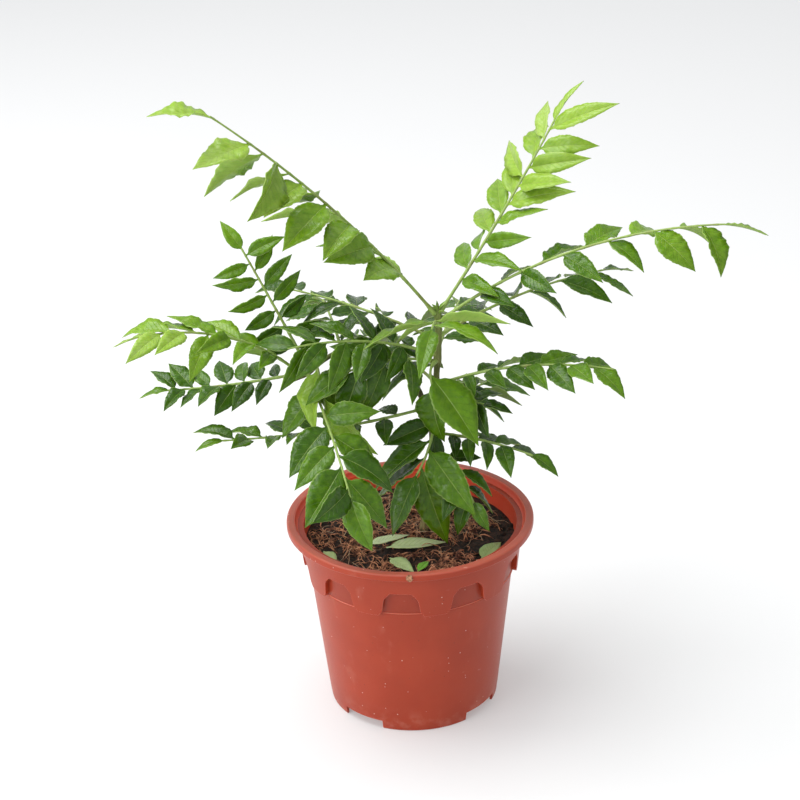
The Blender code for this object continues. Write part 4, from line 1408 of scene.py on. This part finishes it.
def under_a_leaf(x, y, margin):
    """Whether the middle of a fallen leaf lies within a margin of the place."""
    for fallen in FALLEN:
        turn = math.radians(fallen.azimuth)
        dx, dy = x - MM * fallen.x, y - MM * fallen.y
        along = dx * math.cos(turn) + dy * math.sin(turn)
        aside = abs(dy * math.cos(turn) - dx * math.sin(turn))
        end, edge = MM * fallen.length + margin, MM * fallen.width * LEAF_CORE + margin
        if -margin < along < end and aside < edge:
            return True
    return False


def place_on_soil(reach):
    """A random place on the soil."""
    while True:
        x, y = scatter.uniform(-reach, reach), scatter.uniform(-reach, reach)
        if math.hypot(x, y) < reach:
            return x, y


bpy.ops.object.select_all(action="DESELECT")
bpy.ops.mesh.primitive_ico_sphere_add(subdivisions=1, radius=1.0)
crumb = bpy.context.object
for vert in crumb.data.vertices:
    vert.co *= 1 + 0.35 * noise.noise(vert.co * 1.7)
crumbs = []
while len(crumbs) < CRUMBS:
    x, y = place_on_soil(soil_edge - 0.002)
    size = SMALLEST_CRUMB + CRUMB_RANGE * scatter.random() ** 2.5
    if under_a_leaf(x, y, size):
        continue
    copy = crumb.copy()
    copy.data = crumb.data.copy()
    turn = Matrix.Rotation(scatter.uniform(0, 6.28), 4, "Z")
    tip = Matrix.Rotation(scatter.random(), 4, "X")
    copy.data.transform(turn @ tip @ Matrix.Diagonal((size * 1.3, size, size * 0.8, 1.0)))
    copy.data.transform(Matrix.Translation((x, y, rough_soil(x, y) + size * 0.3)))
    bpy.context.scene.collection.objects.link(copy)
    crumbs.append(copy)
bpy.data.objects.remove(crumb)
dress(joined(crumbs, "soil_crumbs"), potting_mix, "soil")
print(CRUMBS, "crumbs")

# %% A dry clump on the lip
CLUMP_AT = -0.0015
CLUMP_SIZE = Vector((0.0022, 0.0011, 0.0024))
lip_front = -math.sqrt(RIM_RADIUS**2 - CLUMP_AT**2)
clump_place = Vector((CLUMP_AT, lip_front - 0.0002, POT_HEIGHT - 0.0018))
bpy.ops.object.select_all(action="DESELECT")
bpy.ops.mesh.primitive_ico_sphere_add(subdivisions=3, radius=1.0)
clump = in_place(bpy.context.object)
clump.name = "lip_clump"
for vert in clump.data.vertices:
    dent = 1 + 0.30 * noise.fractal(vert.co * 1.4, 1.0, 2.0, 3)
    vert.co = CLUMP_SIZE * dent * vert.co + clump_place
clump.data.shade_smooth()
dry_mix = Finish("dry_mix")
clod = dry_mix.cloud(700, 4)
dry_colour = dry_mix.mix(clod.ramp(0.35, 0.65), paint(112, 72, 48), paint(190, 140, 104))
dress(clump, dry_mix.surface(Base_Color=dry_colour, Roughness=0.9), "soil")
print("clump:", len(clump.data.polygons), "faces")


# %% Coir fibres
FIBRE_STEPS = 6
TUFT_SPREAD = 0.006
ABOVE_SOIL = 0.0004


def out_of_place(x, y):
    """Whether a fibre at this place would touch the pot or a fallen leaf."""
    return math.hypot(x, y) > soil_edge - FROM_WALL or under_a_leaf(x, y, 0.0005)


def fibres(name, count, lengths, radii, lift, tufts):
    """Fine curved rods lying on the soil, in so many tufts."""
    centres = [place_on_soil(soil_edge - TUFT_SPREAD) for _ in range(tufts)]
    lines = []
    while len(lines) < count:
        cx, cy = scatter.choice(centres)
        x, y = cx + scatter.gauss(0, TUFT_SPREAD), cy + scatter.gauss(0, TUFT_SPREAD)
        turn, length = scatter.uniform(0, 2 * math.pi), scatter.uniform(*lengths)
        bend, rise = scatter.gauss(0, 1.4), scatter.random() ** 2 * lift
        points = []
        for step in range(FIBRE_STEPS + 1):
            share = step / FIBRE_STEPS
            here = turn + bend * (share - 0.5) + 0.5 * math.sin(5 * share + turn)
            x += length / FIBRE_STEPS * math.cos(here)
            y += length / FIBRE_STEPS * math.sin(here)
            arch = 4 * share * (1 - share) * rise
            points.append((x, y, rough_soil(x, y) + ABOVE_SOIL + arch))
        if any(out_of_place(x, y) for x, y, _ in points):
            continue
        radius = scatter.uniform(*radii)
        between = [radius] * (FIBRE_STEPS - 1)
        lines.append((points, [radius * 0.5, *between, radius * 0.5]))
    return rods(name, lines, 0)


def coir_finish(name, dark, light):
    coir = Finish(name)
    shade = coir.cloud(230, 2)
    return coir.surface(Base_Color=coir.mix(shade.ramp(0.35, 0.65), dark, light), Roughness=0.8)


rusty = coir_finish("rusty_coir", paint(84, 44, 30), paint(214, 150, 112))
pale_fibre = coir_finish("pale_coir", paint(168, 122, 88), paint(226, 196, 164))
rust_fibres = fibres("coir_tufts", 860, (0.006, 0.020), (0.00016, 0.00046), lift=0.0040, tufts=38)
long_fibres = fibres("long_fibres", 120, (0.016, 0.040), (0.00010, 0.00018), lift=0.0050, tufts=34)
dress(rust_fibres, rusty, "soil")
dress(long_fibres, pale_fibre, "soil")
print("fibres:", len(rust_fibres.data.polygons) + len(long_fibres.data.polygons), "faces")

# %% [markdown]
# ## Leaves on the soil
#
# Five leaflets have dropped. They are the same blade, drier, paler and flatter. The frame
# says how high each one lies. A second, narrower blade lies beside the largest.

# %% Fallen leaves
DRY_TONES = (paint(110, 176, 40), paint(156, 182, 114), paint(190, 206, 150), paint(216, 226, 188))
FLATTENED = 0.3
FIRST_AHEAD = 0.006
FIRST_WIDTH = 0.85
SECOND_TURN = 16.0
SECOND_BACK = 0.005
SECOND_ASIDE = 0.0036
SECOND_UP = 0.0018
SECOND_LENGTH = 0.66
SECOND_WIDTH = 0.60

dry_leaf = leaf_finish(
    "dry_leaf",
    DRY_TONES,
    underside=paint(176, 190, 146),
    under_share=0.5,
    roughness=0.55,
    vein_share=0.55,
    vein_colour=paint(104, 128, 66),
)


def fallen_leaflet(fallen, node):
    """The leaflet as the frame has it lying on the soil."""
    along = heading(fallen.azimuth, fallen.tilt)
    face = heading(fallen.azimuth, fallen.tilt + 90.0)
    root = Vector((MM * fallen.x, MM * fallen.y, 0.0))
    size = (MM * fallen.length, MM * fallen.width)
    bends = (math.radians(fallen.curl), math.radians(fallen.fold))
    leaflet = Leaflet(root, along, face.cross(along), face, *size, *bends)
    tip, tip_face = leaflet_tip(leaflet)
    corner = tip + tip_face * FRAME_HALF_BLADE
    points = [vert.co for vert in frame["nodes"][node].data.vertices]
    match = min(points, key=lambda point: (point.xy - corner.xy).length)
    return leaflet._replace(root=root + Vector((0, 0, match.z - corner.z)))


def second_blade(leaflet):
    """The narrow blade that lies beside the largest one, from the same place."""
    turn = Matrix.Rotation(math.radians(SECOND_TURN), 3, "Z")
    along, across, face = [turn @ vector for vector in leaflet[1:4]]
    root = leaflet.root - leaflet.along * SECOND_BACK + leaflet.across * SECOND_ASIDE
    root += Vector((0, 0, SECOND_UP))
    size = (leaflet.length * SECOND_LENGTH, leaflet.width * SECOND_WIDTH)
    return Leaflet(root, along, across, face, *size, leaflet.curl, leaflet.fold)


drop = random.Random(5)
for fallen, node in zip(FALLEN, FALLEN_NODES):
    flat = fallen_leaflet(fallen, node)
    things = []
    if node == FALLEN_NODES[0]:
        second = second_blade(flat)
        things = [leaflet_object("second_blade", second, fallen.lightness, drop, FLATTENED)]
        root, length = flat.root + flat.along * FIRST_AHEAD, flat.length - FIRST_AHEAD
        flat = flat._replace(root=root, length=length, width=flat.width * FIRST_WIDTH)
    things.append(leaflet_object("dropped_blade", flat, fallen.lightness, drop, FLATTENED))
    dress(joined(things, "dropped_" + node), dry_leaf, "fallen_leaf", node)
bpy.data.objects.remove(blade)
print(len(FALLEN), "leaves lie on the soil")

# %% [markdown]
# ## Floor and light
#
# The plant stands on a wide white sheet. A large soft light, high on the left and a little
# behind, throws the short soft shadow on the right. A weaker one, low on the left and in
# front, stands for a pale wall and brightens the pot's left side. The pale surroundings fill
# the rest.

# %% Floor
SHEET_SIZE = 14.0
SHEET_BACK = 3.0

bpy.ops.object.select_all(action="DESELECT")
bpy.ops.mesh.primitive_plane_add(size=SHEET_SIZE, location=(0, SHEET_BACK, 0))
floor = bpy.context.object
floor.name = "white_sheet"
sheet = Finish("white_sheet")
floor.data.materials.append(sheet.surface(
    Base_Color=(0.55, 0.55, 0.55, 1.0),
    Roughness=0.7,
    Emission_Color=(1.0, 1.0, 1.0, 1.0),
    Emission_Strength=0.28,
))
print("the sheet is", SHEET_SIZE, "m wide")

# %% Light
world = bpy.data.worlds.new("pale_room")
bpy.context.scene.world = world
world.use_nodes = True
room = world.node_tree.nodes["Background"].inputs
room["Color"].default_value = (0.96, 0.98, 1.0, 1.0)
room["Strength"].default_value = 0.70


def soft_light(name, place, target, size, watts):
    """A square lamp that faces the target."""
    bpy.ops.object.light_add(type="AREA", location=place)
    lamp = bpy.context.object
    lamp.name = name
    lamp.data.size = size
    lamp.data.energy = watts
    lamp.rotation_euler = (Vector(target) - Vector(place)).to_track_quat("-Z", "Y").to_euler()


soft_light("window", (-0.78, 0.25, 2.0), (0, 0, 0.15), 1.6, 43.0)
soft_light("pale_wall", (-1.4, -1.1, 0.9), (0, 0, 0.10), 1.2, 17.0)
bpy.context.scene.view_settings.view_transform = "Standard"
print("two soft lights and a pale room")
